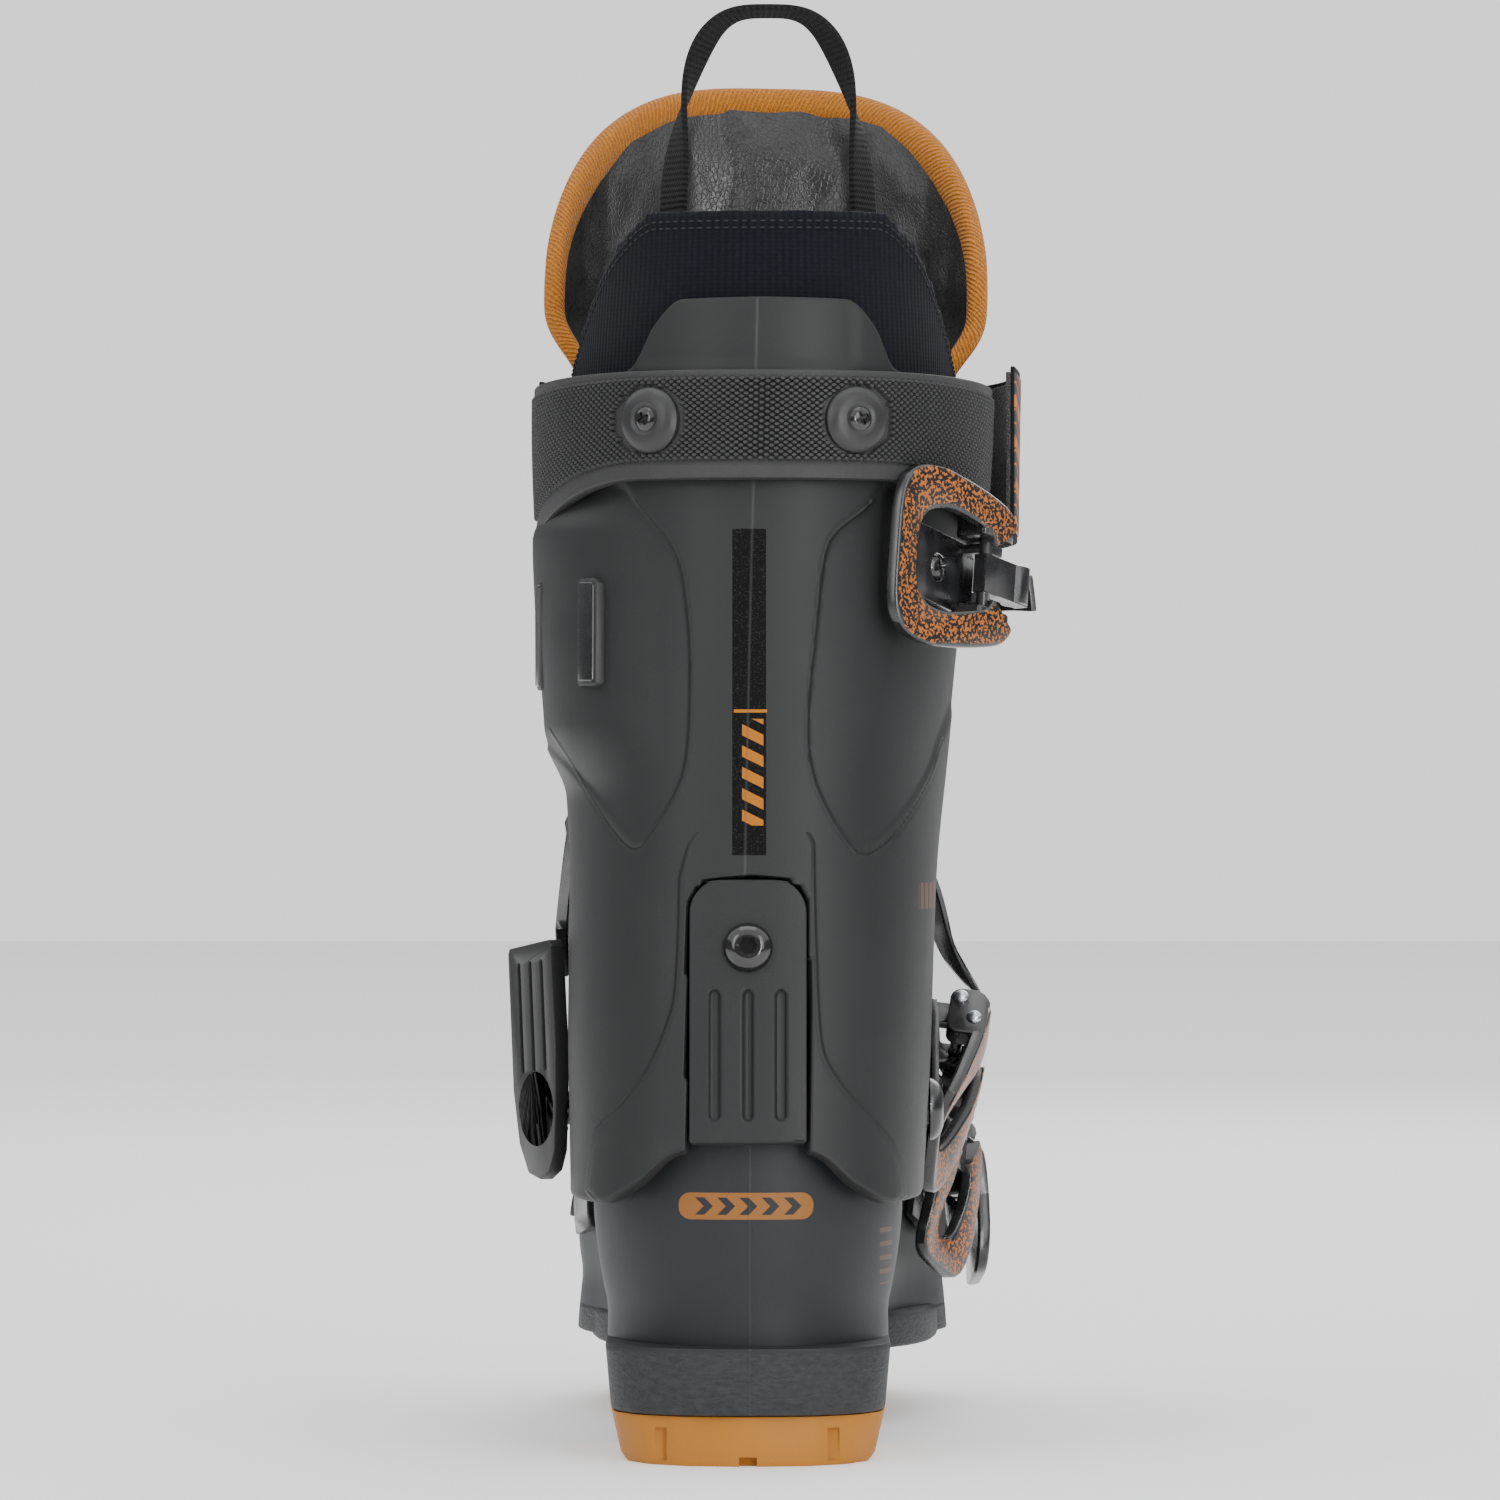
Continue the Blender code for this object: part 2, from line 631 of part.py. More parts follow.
def strip(name, stations, material):
    """Bar through stations of (centre, tangent, normal, half-width, low, high)."""
    rings = []
    for centre, tangent, normal, half, low, high in stations:
        normal = (normal - tangent * normal.dot(tangent)).normalized()
        across = tangent.cross(normal)
        corners = ((-half, low), (half, low), (half, high), (-half, high))
        rings.append([centre + across * w + normal * h for w, h in corners])
    return loft(name, rings, (True, True), material)


def surface_stations(track, shape, count):
    """Stations along a track over a surface; shape(t) gives (half-width, low, high)."""
    places = [track(i / count) for i in range(count + 1)]
    stations = []
    for i, (point, normal) in enumerate(places):
        ahead = places[min(i + 1, count)][0] - places[max(i - 1, 0)][0]
        stations.append((point, ahead.normalized(), normal, *shape(i / count)))
    return stations


def cuff_track(start, end, lift=None, early=1.0):
    """Path over the cuff from (s, angle) to (s, angle), riding over the outer flap where lift is set.

    With early under 1 it climbs first and then turns level.
    """

    def at(t):
        s = mix(start[0], end[0], t**early)
        angle = mix(start[1], end[1], t)
        out = lift(angle) if lift else 0.0
        point = cuff_point(s, angle, out)
        around = cuff_point(s, angle + 1, out) - cuff_point(s, angle - 1, out)
        rise = cuff_point(s + 0.002, angle, out) - cuff_point(s - 0.002, angle, out)
        normal = around.cross(rise).normalized()
        centre = ANKLE + UP * s
        return point, normal if normal.dot(point - centre) > 0 else -normal

    return at


def shell_track(start, end):
    """Path over the lower shell from (y, angle) to (y, angle)."""

    def at(t):
        y = mix(start[0], end[0], t)
        angle = mix(start[1], end[1], t)
        point = shell_point(y, angle)
        around = shell_point(y, angle + 1) - shell_point(y, angle - 1)
        length = shell_point(y + 0.002, angle) - shell_point(y - 0.002, angle)
        normal = around.cross(length).normalized()
        centre = Vector((0, y, 0.03))
        return point, normal if normal.dot(point - centre) > 0 else -normal

    return at


# ---------------------------------------------------------------- buckles

PIN_RADIUS = 0.0021
LINK_PIVOT = Vector((0.0, 0.0068, 0.0042))
LINK_LENGTH = 0.0190
PIN_HEIGHT = 0.0062
# width of the lever's loop at its sides and at its ends
LOOP_SIDE = 0.0105
LOOP_END = 0.0095

# frame: where the base sits; width and length: the lever's; arm and ladder: their tracks over the boot
BUCKLES = (
    {"name": "upper_cuff", "frame": cuff_frame(0.133, 128.0, 0.0, 9.0), "width": 0.047, "length": 0.045,
     "arm": cuff_track((0.140, 92.0), (0.150, -33.0), flap_lift), "ladder": cuff_track((0.151, -30.0), (0.142, -84.0))},
    {"name": "lower_cuff", "frame": cuff_frame(0.012, 80.0, 58.0, 7.0), "width": 0.034, "length": 0.050,
     "arm": cuff_track((0.052, 63.0), (0.124, -33.0), flap_lift, 0.7),
     "ladder": cuff_track((0.124, -30.0), (0.044, -84.0))},
    {"name": "instep", "frame": shell_frame(0.124, 24.0, 90.0, 0.0), "width": 0.034, "length": 0.040,
     "arm": shell_track((0.126, 55.0), (0.143, 118.0)), "ladder": shell_track((0.143, 114.0), (0.126, 160.0))},
    {"name": "toe", "frame": shell_frame(0.182, 30.0, 90.0, 0.0), "width": 0.032, "length": 0.036,
     "arm": shell_track((0.182, 56.0), (0.182, 116.0)), "ladder": shell_track((0.182, 112.0), (0.182, 150.0))},
)


def surface_of(obj):
    mesh = obj.data
    return BVHTree.FromPolygons([v.co for v in mesh.vertices], [tuple(p.vertices) for p in mesh.polygons])


def make_buckle(buckle, ground):
    """Base, lever, pin, link, arm and ladder. Local X is along the pin, Y towards the lever's tip, Z outwards."""
    name = buckle["name"]
    at = frame_matrix(buckle["frame"])
    reach = buckle["length"] / 2 - 0.004
    pin = Vector((0, -reach, PIN_HEIGHT))
    base = make_base(name + "_base", reach, at, ground)
    base.matrix_world = at
    lever = make_lever(name + "_lever", buckle["width"] / 2, buckle["length"])
    lever.matrix_world = at @ Matrix.Translation(pin)
    rod = cylinder(name + "_lever_pin", PIN_RADIUS - 0.0004, -0.0150, 0.0150, "zinc", 12)
    rod.matrix_world = at @ Matrix.Translation(pin) @ Matrix.Rotation(math.pi / 2, 4, "Y")
    link = make_link(name + "_link")
    link.matrix_world = at @ Matrix.Translation(pin + LINK_PIVOT)
    hook = at @ (pin + LINK_PIVOT + Vector((0, -LINK_LENGTH, 0)))
    make_arm(name + "_arm", buckle, hook, at)
    make_ladder(name + "_ladder", buckle["ladder"])


def make_base(name, reach, at, ground):
    """Plate shaped to the shell under it, with two ears that hold the lever's pin."""
    outward = (at.to_3x3() @ Vector((0, 0, 1))).normalized()

    def height(x, y):
        hit = ground.ray_cast(at @ Vector((x, y, 0.03)), -outward)[0]
        return (at.inverted() @ hit).z if hit else -0.004

    rings = []
    for i in range(6):
        y = mix(-reach - 0.003, reach * 0.55, i / 5)
        floor = [max(height(x * 0.0095, y + step) for step in (-0.003, 0.0, 0.003)) + 0.0009 for x in (-1, 0, 1)]
        top = max(max(floor) + 0.0018, 0.0026 - bend(y))
        rings.append([Vector((x, y, z)) for x, z in ((-0.0095, floor[0]), (0, floor[1]), (0.0095, floor[2]),
                                                     (0.0095, top), (-0.0095, top))])
    plate = loft(name, rings, (True, True), "black_metal")
    for side in (-1, 1):
        ear = box("ear", (side * 0.0078 - 0.0012, -reach - 0.0026, rings[0][3].z - 0.001),
                  (side * 0.0078 + 0.0012, -reach + 0.0045, PIN_HEIGHT + 0.0030))
        boolean(plate, ear, "UNION")
    bore = cylinder("bore", PIN_RADIUS, -0.02, 0.02, None, 12, CUTTERS)
    bore.matrix_world = Matrix.Translation((0, -reach, PIN_HEIGHT)) @ Matrix.Rotation(math.pi / 2, 4, "Y")
    boolean(plate, bore, "DIFFERENCE")
    return plate


def bend(y):
    """How far the plate and the lever drop to follow the shell's curve."""
    return y * y / (2 * 0.100)


def make_lever(name, half, length):
    """Open loop from the pin to its tip, with two cheeks on the pin. Its origin is on the pin's axis."""
    centre = length / 2 - 0.003
    top, depth = 0.0084, 0.0036
    sides = 24
    bm = bmesh.new()
    rows = []
    # round the loop's section: outer top, inner top, inner bottom, outer bottom
    for inset, height in ((0.0, top), (1.0, top), (1.0, top - depth), (0.0, top - depth)):
        row = []
        for i in range(sides):
            turn = 2 * math.pi * i / sides
            x = (half - inset * LOOP_SIDE) * signed_power(math.cos(turn), 0.5)
            y = (length / 2 - inset * LOOP_END) * signed_power(math.sin(turn), 0.5)
            row.append(bm.verts.new((x, centre + y, height - bend(y))))
        rows.append(row)
    for a, b in zip(rows, rows[1:] + rows[:1]):
        for i in range(sides):
            j = (i + 1) % sides
            bm.faces.new((a[i], a[j], b[j], b[i]))
    lever = add_object(name, to_mesh(bm, name), "black_metal")
    for side in (-1, 1):
        cheek = box("cheek", (side * 0.0115 - 0.0028, -0.0033, -0.0026), (side * 0.0115 + 0.0028, 0.0118, top - 0.0020))
        boolean(lever, cheek, "UNION")
    mouth = box("mouth", (-0.0096, -0.010, -0.010), (0.0096, 0.0135, 0.020), None, CUTTERS)
    boolean(lever, mouth, "DIFFERENCE")
    for at in (Vector(), LINK_PIVOT):
        bore = cylinder("bore", PIN_RADIUS, -0.02, 0.02, None, 12, CUTTERS)
        bore.matrix_world = Matrix.Translation(at) @ Matrix.Rotation(math.pi / 2, 4, "Y")
        boolean(lever, bore, "DIFFERENCE")
    return lever


def make_link(name):
    """Flat link with the threaded barrel that sets the buckle's length. Its origin is on the lever's rivet."""
    link = box(name, (-0.0050, -LINK_LENGTH + 0.0010, -0.0019), (0.0050, 0.0022, 0.0019), "black_metal")
    for radius, half, y in ((0.0036, 0.0048, -LINK_LENGTH + 0.0045), (PIN_RADIUS - 0.0004, 0.0150, 0.0)):
        post = cylinder("post", radius, -half, half, None, 14)
        post.matrix_world = Matrix.Translation((0, y, 0)) @ Matrix.Rotation(math.pi / 2, 4, "Y")
        boolean(link, post, "UNION")
    return link


def make_arm(name, buckle, hook, at):
    """Curved arm from the link over the shin or instep to a tooth of the ladder."""
    track = buckle["arm"]
    normal = (at.to_3x3() @ Vector((0, 0, 1))).normalized()
    count = 12
    stations = []
    lead = hook + (at.to_3x3() @ Vector((0, -0.0036, 0)))
    points = [(lead, normal)]
    for i in range(count + 1):
        t = i / count
        point, out = track(t)
        rise = mix(0.0085, 0.0075, t)
        points.append((point + out * rise, out))
    for i, (point, out) in enumerate(points):
        ahead = points[min(i + 1, len(points) - 1)][0] - points[max(i - 1, 0)][0]
        share = i / (len(points) - 1)
        stations.append((point, ahead.normalized(), out, mix(0.0048, 0.0060, ease(share * 3)), -0.0009, 0.0009))
    made = strip(name, stations, "black_metal")
    made.data.transform(Matrix.Translation(-hook))
    made.matrix_world = Matrix.Translation(hook)
    return made


def make_ladder(name, track):
    """Toothed strip screwed to the inner side of the boot."""
    teeth = 6

    def shape(t):
        high = 0.0042 if t > 0.55 else mix(0.0036, 0.0054, (t / 0.55 * teeth) % 1.0)
        return 0.0075, 0.0010, high

    return strip(name, surface_stations(track, shape, 24), "black_metal")


# ---------------------------------------------------------------- medial plate, strap


def make_ankle_plate():
    """Plate at the inner ankle that carries the lower cuff's ladder."""
    rows = []
    for z, stand, half in ((0.0690, 0.0040, 0.0085), (0.078, 0.0042, 0.0110), (0.095, 0.0050, 0.0125),
                           (0.112, 0.0075, 0.0130), (0.127, 0.0105, 0.0125)):
        s = cuff_s(z, 270.0)
        surface = cuff_point(s, 270.0).x - stand
        rows.append([Vector((surface + 0.0035, ANKLE.y + 0.002 - half, z)), Vector((surface, ANKLE.y + 0.002 - half * 0.8, z)),
                     Vector((surface, ANKLE.y + 0.002 + half * 0.8, z)),
                     Vector((surface + 0.0035, ANKLE.y + 0.002 + half, z))])
    plate = loft("ankle_plate_inner", rows, (True, True), "black_plastic")
    hole = cylinder("plate_hole", 0.0098, 0.03, 0.07, None, 16, CUTTERS)
    place(hole, ANKLE, facing((-1, 0, 0)))
    boolean(plate, hole, "DIFFERENCE")
    return plate


def strap_track(angle, height, out):
    apart = max(from_front(angle), 90.0)
    z = mix(smooth(apart, STRAP_LOW), smooth(apart, STRAP_HIGH), height)
    return cuff_point(cuff_s(z, angle), angle, out)


def make_strap():
    """Moulded band round the calf, and the webbing that closes it over the shin."""
    columns = [mix(BAND_END, 360 - BAND_END, i / 20) for i in range(21)]
    rows = [[strap_track(angle, t, BAND_WALL + 0.0004) for angle in columns] for t in (0.0, 0.5, 1.0)]
    band = sheet("strap_band", rows, BAND_WALL, "band_rubber")
    apply_modifiers(band)
    for name, x in (("inner", -0.025), ("outer", 0.0276)):
        seat = cuff_rear(x, 0.265, BAND_WALL + 0.0004)
        side = cuff_rear(x + 0.002, 0.265) - cuff_rear(x - 0.002, 0.265)
        rise = cuff_rear(x, 0.267) - cuff_rear(x, 0.263)
        out = side.cross(rise).normalized()
        washer = turned("strap_washer_" + name, ((0.0035, 0.0024), (0.0065, 0.0022), (0.00875, 0.0008), (0.00875, 0.0),
                                                 (0.0035, 0.0), (0.0035, 0.0024)), "black_plastic", 24)
        place(washer, seat + out * 0.0006, facing(out))
        head = screw_head("strap_screw_" + name, 0.0042, 0.0020, 0.0, "black_metal", "cross")
        place(head, seat + out * 0.0034, facing(out))
    webbing_path()


def webbing_path():
    """Webbing from the inner end of the band round the shin to its free end on the outer side."""
    stations = []
    count = 22
    middle = 0.256
    inner_end = -(BAND_END - 4.5)
    for i in range(count + 1):
        angle = mix(inner_end, 58.0, i / count)
        rise = 0.0012 + (CUFF_WALL + FLAP_GAP) * ease((angle + 34.0) / 10.0)
        s = cuff_s(middle, angle)
        stations.append(cuff_point(s, angle, rise + WEBBING_WALL))
    for forward, away in ((0.040, 0.0085), (0.026, 0.0125), (0.012, 0.0120), (-0.002, 0.0105)):
        s = cuff_s(middle + 0.003, 90.0)
        side = cuff_point(s, 90.0)
        stations.append(side + AHEAD * forward + SIDE * away)
    rings = []
    for i, point in enumerate(stations):
        ahead = (stations[min(i + 1, len(stations) - 1)] - stations[max(i - 1, 0)]).normalized()
        normal = ahead.cross(UP).normalized()
        if normal.dot(point - (ANKLE + UP * 0.17)) < 0:
            normal = -normal
        rise = normal.cross(ahead).normalized()
        rise = rise if rise.z > 0 else -rise
        half = WEBBING_WIDTH / 2
        rings.append([point - rise * half - normal * WEBBING_WALL, point - rise * half, point + rise * half,
                      point + rise * half - normal * WEBBING_WALL])
    loft("power_strap", rings, (True, True), "webbing")


# ---------------------------------------------------------------- liner


def make_bootie():
    """Foot part of the liner: a hollow shoe inside the lower shell, open at the ankle."""
    levels = (0.0310, 0.042, 0.053, 0.064, 0.076, 0.089, 0.102, 0.116, 0.132, 0.149)
    outer = [shell_ring(z, BOOTIE_INSET, 14) for z in levels]
    inner = [shell_ring(z, BOOTIE_INSET + LINER_WALL, 14) for z in (levels[0] + LINER_WALL, *levels[1:])]
    return loft("liner_bootie", outer + inner[::-1], (True, True), "liner_fabric")


def make_footbed():
    ring = shell_ring(0.034, BOOTIE_INSET + LINER_WALL + 0.0045, 14)
    rings = [[Vector((p.x, p.y, z)) for p in ring] for z in (0.0380, 0.0410)]
    return loft("footbed", rings, (True, True), "liner_fabric")


def shaft_out(s):
    """The liner swells a little once it is clear of the cuff."""
    return -(CUFF_WALL + LINER_GAP) + 0.0012 * ease((s - 0.205) / 0.02)


def make_liner_shaft():
    columns = [mix(78.0, 282.0, i / 22) for i in range(23)]
    rows = []
    for i in range(9):
        row = []
        for angle in columns:
            high = cuff_s(smooth(from_front(angle), SHAFT_HIGH), angle)
            s = mix(cuff_s(SHAFT_FOOT, angle), high, i / 8)
            row.append(cuff_point(s, angle, shaft_out(s)))
        rows.append(row)
    shaft = sheet("liner_shaft", rows, LINER_WALL, "liner_fabric")
    apply_modifiers(shaft)
    return shaft


def tongue_out(s):
    """The tongue lies inside the cuff and flares above it."""
    flare = 0.0095 * ease((s - 0.206) / 0.030) - 0.004 * ease((s - 0.240) / 0.060)
    return -(CUFF_WALL + LINER_GAP) + flare


def make_tongue():
    columns = [mix(-TONGUE_SIDE, TONGUE_SIDE, i / 18) for i in range(19)]
    rows = []
    for i in range(11):
        row = []
        for angle in columns:
            share = abs(angle) / (TONGUE_SIDE + 4.0)
            high = TONGUE_SHOULDER + TONGUE_RISE * math.sqrt(1 - share**2.4)
            s = mix(TONGUE_FOOT + 0.03 * (1 - share), high, i / 10)
            row.append(cuff_point(s, angle, tongue_out(s)))
        rows.append(row)
    tongue = sheet("tongue", rows, TONGUE_WALL, "tongue_leather")
    apply_modifiers(tongue)
    return tongue


def make_pull_loop():
    """Webbing loop sewn inside the back of the liner; it turns from flat to edge-on towards its top."""
    count = 24
    path = []
    for i in range(count + 1):
        turn = math.pi * i / count
        x = LOOP_CENTRE - LOOP_HALF * signed_power(math.cos(turn), 0.62)
        out = shaft_out(0.24)
        side = cuff_rear(x + 0.002, LOOP_FOOT, out) - cuff_rear(x - 0.002, LOOP_FOOT, out)
        rise = cuff_rear(x, LOOP_FOOT + 0.002, out) - cuff_rear(x, LOOP_FOOT - 0.002, out)
        inward = rise.cross(side).normalized()
        foot = cuff_rear(x, LOOP_FOOT, out) + inward * (LINER_WALL + 0.0042)
        climb = LOOP_RISE * math.sin(turn) ** 0.75
        path.append((Vector((foot.x, foot.y + 0.012 * math.sin(turn), LOOP_FOOT + climb)), inward))
    sections = []
    for i, (point, inward) in enumerate(path):
        ahead = (path[min(i + 1, count)][0] - path[max(i - 1, 0)][0]).normalized()
        twist = math.radians(90) * ease(math.sin(math.pi * i / count) * 1.5 - 0.35)
        flat = (inward - ahead * inward.dot(ahead)).normalized()
        edge = ahead.cross(flat).normalized()
        wide = (edge * math.cos(twist) + flat * math.sin(twist)) * LOOP_WIDTH / 2
        thin = (flat * math.cos(twist) - edge * math.sin(twist)) * LOOP_WALL / 2
        sections.append([point - wide - thin, point + wide - thin, point + wide + thin, point - wide + thin])
    return loft("pull_loop", sections, (True, True), "webbing")


# ---------------------------------------------------------------- what flexes with the cuff

ON_CUFF = ("cuff", "strap_", "power_strap", "liner_shaft", "tongue", "pull_loop", "ankle_plate", "upper_cuff", "lower_cuff")


def hang_on_cuff():
    """Parents the cuff and all that it carries to an empty on the hinge through both ankle bolts."""
    carried = [obj for obj in PARTS.objects if obj.name.startswith(ON_CUFF)]
    hinge = bpy.data.objects.new("cuff_hinge", None)
    PARTS.objects.link(hinge)
    hinge.location = ANKLE
    bpy.context.view_layer.update()
    for obj in carried:
        obj.parent = hinge
        obj.matrix_parent_inverse = hinge.matrix_world.inverted()


SHELL_SURFACE = surface_of(make_lower_shell())
CUFF_SURFACE = surface_of(make_cuff())
make_sole_pads()
make_spine()
make_ankle_bolts()
make_ankle_plate()
for each in BUCKLES:
    make_buckle(each, CUFF_SURFACE if each["name"] in ON_CUFF else SHELL_SURFACE)
make_strap()
make_bootie()
make_footbed()
make_liner_shaft()
make_tongue()
make_pull_loop()
hang_on_cuff()
bpy.data.collections.remove(CUTTERS)
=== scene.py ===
import bisect
import json
import math

import bmesh
import bpy
import numpy as np
from mathutils import Matrix, Vector


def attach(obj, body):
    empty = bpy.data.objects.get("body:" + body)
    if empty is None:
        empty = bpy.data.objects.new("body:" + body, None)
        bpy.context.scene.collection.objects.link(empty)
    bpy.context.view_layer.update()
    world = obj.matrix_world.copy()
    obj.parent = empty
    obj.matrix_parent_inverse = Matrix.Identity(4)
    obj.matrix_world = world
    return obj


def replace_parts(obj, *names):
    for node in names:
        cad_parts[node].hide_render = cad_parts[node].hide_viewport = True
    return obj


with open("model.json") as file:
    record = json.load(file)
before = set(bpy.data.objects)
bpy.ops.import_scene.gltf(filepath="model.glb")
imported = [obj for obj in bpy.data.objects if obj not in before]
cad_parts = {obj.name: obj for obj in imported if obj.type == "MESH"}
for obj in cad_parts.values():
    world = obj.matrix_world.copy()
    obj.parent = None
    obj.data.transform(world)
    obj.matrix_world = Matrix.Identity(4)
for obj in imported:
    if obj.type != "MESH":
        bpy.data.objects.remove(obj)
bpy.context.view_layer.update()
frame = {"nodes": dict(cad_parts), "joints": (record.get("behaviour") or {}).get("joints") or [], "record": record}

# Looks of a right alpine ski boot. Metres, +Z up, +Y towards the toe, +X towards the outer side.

BODIES = frame["record"]["behaviour"]["bodies"]
NODE_BODY = {node: body for body, nodes in BODIES.items() for node in nodes}

# ---------------------------------------------------------------- the boot's form


class Profile:
    """Monotone cubic through (x, value) pairs, held at its ends."""

    def __init__(self, *pairs):
        self.xs = [pair[0] for pair in pairs]
        self.ys = [pair[1] for pair in pairs]
        chords = [(b[1] - a[1]) / (b[0] - a[0]) for a, b in zip(pairs, pairs[1:])]
        inner = [0.0 if a * b <= 0 else 2 * a * b / (a + b) for a, b in zip(chords, chords[1:])]
        self.slopes = [chords[0], *inner, chords[-1]]

    def __call__(self, x):
        if x <= self.xs[0]:
            return self.ys[0]
        if x >= self.xs[-1]:
            return self.ys[-1]
        i = bisect.bisect_right(self.xs, x) - 1
        span = self.xs[i + 1] - self.xs[i]
        t = (x - self.xs[i]) / span
        rise = self.ys[i + 1] - self.ys[i]
        start, end = self.slopes[i] * span - rise, self.slopes[i + 1] * span - rise
        return self.ys[i] + rise * t + t * (1 - t) * ((1 - t) * start - t * end)


def ease(t):
    t = min(max(t, 0.0), 1.0)
    return t * t * (3 - 2 * t)


def eased(t):
    """The same on an array."""
    t = np.clip(t, 0.0, 1.0)
    return t * t * (3 - 2 * t)


def mix(a, b, t):
    return a + (b - a) * t


def round_end(distance, length, power=2.3):
    if length <= 0 or distance >= length:
        return 1.0
    return (1 - (1 - max(distance, 0.0) / length) ** power) ** (1 / power)


def signed_power(value, power):
    return math.copysign(abs(value) ** power, value)


# Lower shell
SHELL_WALL = 0.0042
SHELL_FRONT = 0.2475
SHELL_REAR = Profile((0.022, -0.0372), (0.038, -0.0372), (0.052, -0.0390), (0.07, -0.0405),
                     (0.10, -0.038), (0.13, -0.028), (0.155, -0.018))
SHELL_ROOF = Profile((-0.04, 0.60), (0.02, 0.33), (0.05, 0.25), (0.08, 0.194), (0.105, 0.163),
                     (0.125, 0.14), (0.15, 0.115), (0.185, 0.089), (0.212, 0.0755), (0.236, 0.059),
                     (0.2475, 0.042))
SHELL_HALF = Profile((-0.045, 0.0395), (-0.02, 0.0405), (0.06, 0.0402), (0.09, 0.0396), (0.115, 0.0440),
                     (0.155, 0.0570), (0.19, 0.0565), (0.2475, 0.047))
SHELL_SHIFT = Profile((0.08, 0.0), (0.12, 0.002), (0.16, 0.004), (0.2475, 0.001))
SHELL_SQUARE = Profile((0.08, 2.0), (0.15, 2.2), (0.2475, 3.0))
TUCK_TOP = 0.065
TUCK_FOOT = 0.038
TUCK_DEPTH = 0.100
NARROWEST = 0.0008

# Cuff, in its own leaned frame: s runs up the shaft from the ankle hinge
ANKLE = Vector((0.0, 0.034, 0.087))
LEAN_FORWARD = math.radians(13.0)
LEAN_OUTWARD = math.radians(1.2)
UP = Vector((math.sin(LEAN_OUTWARD), math.sin(LEAN_FORWARD), math.cos(LEAN_FORWARD))).normalized()
SIDE = (Vector((1, 0, 0)) - UP * UP.x).normalized()
AHEAD = UP.cross(SIDE)
CUFF_WALL = 0.0045
CUFF_SQUARE = Profile((-0.03, 2.9), (0.04, 2.7), (0.12, 2.2))
CUFF_HALF = Profile((-0.03, 0.046), (0.0, 0.047), (0.06, 0.048), (0.10, 0.051), (0.14, 0.054),
                    (0.18, 0.0565), (0.24, 0.0575))
CUFF_BACK = Profile((-0.023, 0.078), (0.025, 0.082), (0.076, 0.0833), (0.138, 0.084), (0.195, 0.088),
                    (0.25, 0.090))
CUFF_FRONT = Profile((0.0, 0.112), (0.03, 0.097), (0.06, 0.079), (0.098, 0.0635), (0.15, 0.0617),
                     (0.20, 0.064), (0.30, 0.068))
CUFF_LOW = Profile((0, 0.172), (20, 0.162), (40, 0.133), (60, 0.095), (80, 0.071), (100, 0.066),
                   (130, 0.066), (150, 0.071), (165, 0.079), (180, 0.082))
CUFF_HIGH = Profile((0, 0.262), (40, 0.266), (90, 0.272), (125, 0.274), (145, 0.279), (152, 0.290),
                    (160, 0.2965), (180, 0.297))
FLAP_OVER_END = -22.0
FLAP_UNDER_END = 374.0
FLAP_GAP = 0.0007

# Liner, strap and loop
LINER_GAP = 0.0008
LINER_WALL = 0.0065
STITCH_PITCH = 0.0024
SHAFT_FOOT = 0.162
SHAFT_HIGH = Profile((78, 0.270), (105, 0.285), (135, 0.314), (150, 0.321), (180, 0.321))
TONGUE_FOOT = 0.075
TONGUE_SIDE = 72.0
TONGUE_SHOULDER = 0.200
TONGUE_RISE = 0.096
STRAP_LOW = Profile((90, 0.234), (150, 0.249), (180, 0.249))
STRAP_HIGH = Profile((90, 0.276), (150, 0.277), (180, 0.277))
BAND_END = 84.0
BAND_WALL = 0.0032
WEBBING_WALL = 0.0024
WEBBING_WIDTH = 0.046
LOOP_CENTRE = 0.0055
LOOP_HALF = 0.033
LOOP_FOOT = 0.300
LOOP_RISE = 0.072
LOOP_WIDTH = 0.009
LOOP_WALL = 0.0016


def front_at(z):
    """Where the centre line of the instep comes down to height z."""
    low, high = 0.06, SHELL_FRONT
    if SHELL_ROOF(high) >= z:
        return high
    for _ in range(40):
        middle = (low + high) / 2
        low, high = (middle, high) if SHELL_ROOF(middle) > z else (low, middle)
    return low


def shell_half(y, z):
    """Half-width of the lower shell's outer face."""
    power = SHELL_SQUARE(y)
    roof = max(1 - (max(z, 0.0) / SHELL_ROOF(y)) ** power, 0.0) ** (1 / power)
    tuck = 1 - TUCK_DEPTH * (max(0.0, TUCK_TOP - max(z, TUCK_FOOT)) / (TUCK_TOP - TUCK_FOOT)) ** 1.6
    heel = round_end(y - SHELL_REAR(z), mix(0.052, 0.062, ease((z - 0.07) / 0.06)), 2.2)
    return SHELL_HALF(y) * roof * tuck * heel * round_end(SHELL_FRONT - y, 0.055)


def shell_ring(z, inset=0.0, count=17):
    """Closed outline of the lower shell at height z, anticlockwise from the heel, drawn in by inset."""
    rear = SHELL_REAR(z) + inset
    front = front_at(z + inset) - inset
    lateral, medial = [], []
    for i in range(count + 1):
        share = (1 - math.cos(math.pi * i / count)) / 2
        outer_y = mix(rear - inset, front + inset, share)
        half = min(shell_half(outer_y, z), shell_half(outer_y, z + inset))
        half = max(half - inset * min(1.0, half / 0.028), NARROWEST) if 0 < i < count else 0.0
        lateral.append(Vector((SHELL_SHIFT(outer_y) + half, mix(rear, front, share), z)))
        medial.append(Vector((SHELL_SHIFT(outer_y) - half, mix(rear, front, share), z)))
    return lateral + medial[-2:0:-1]


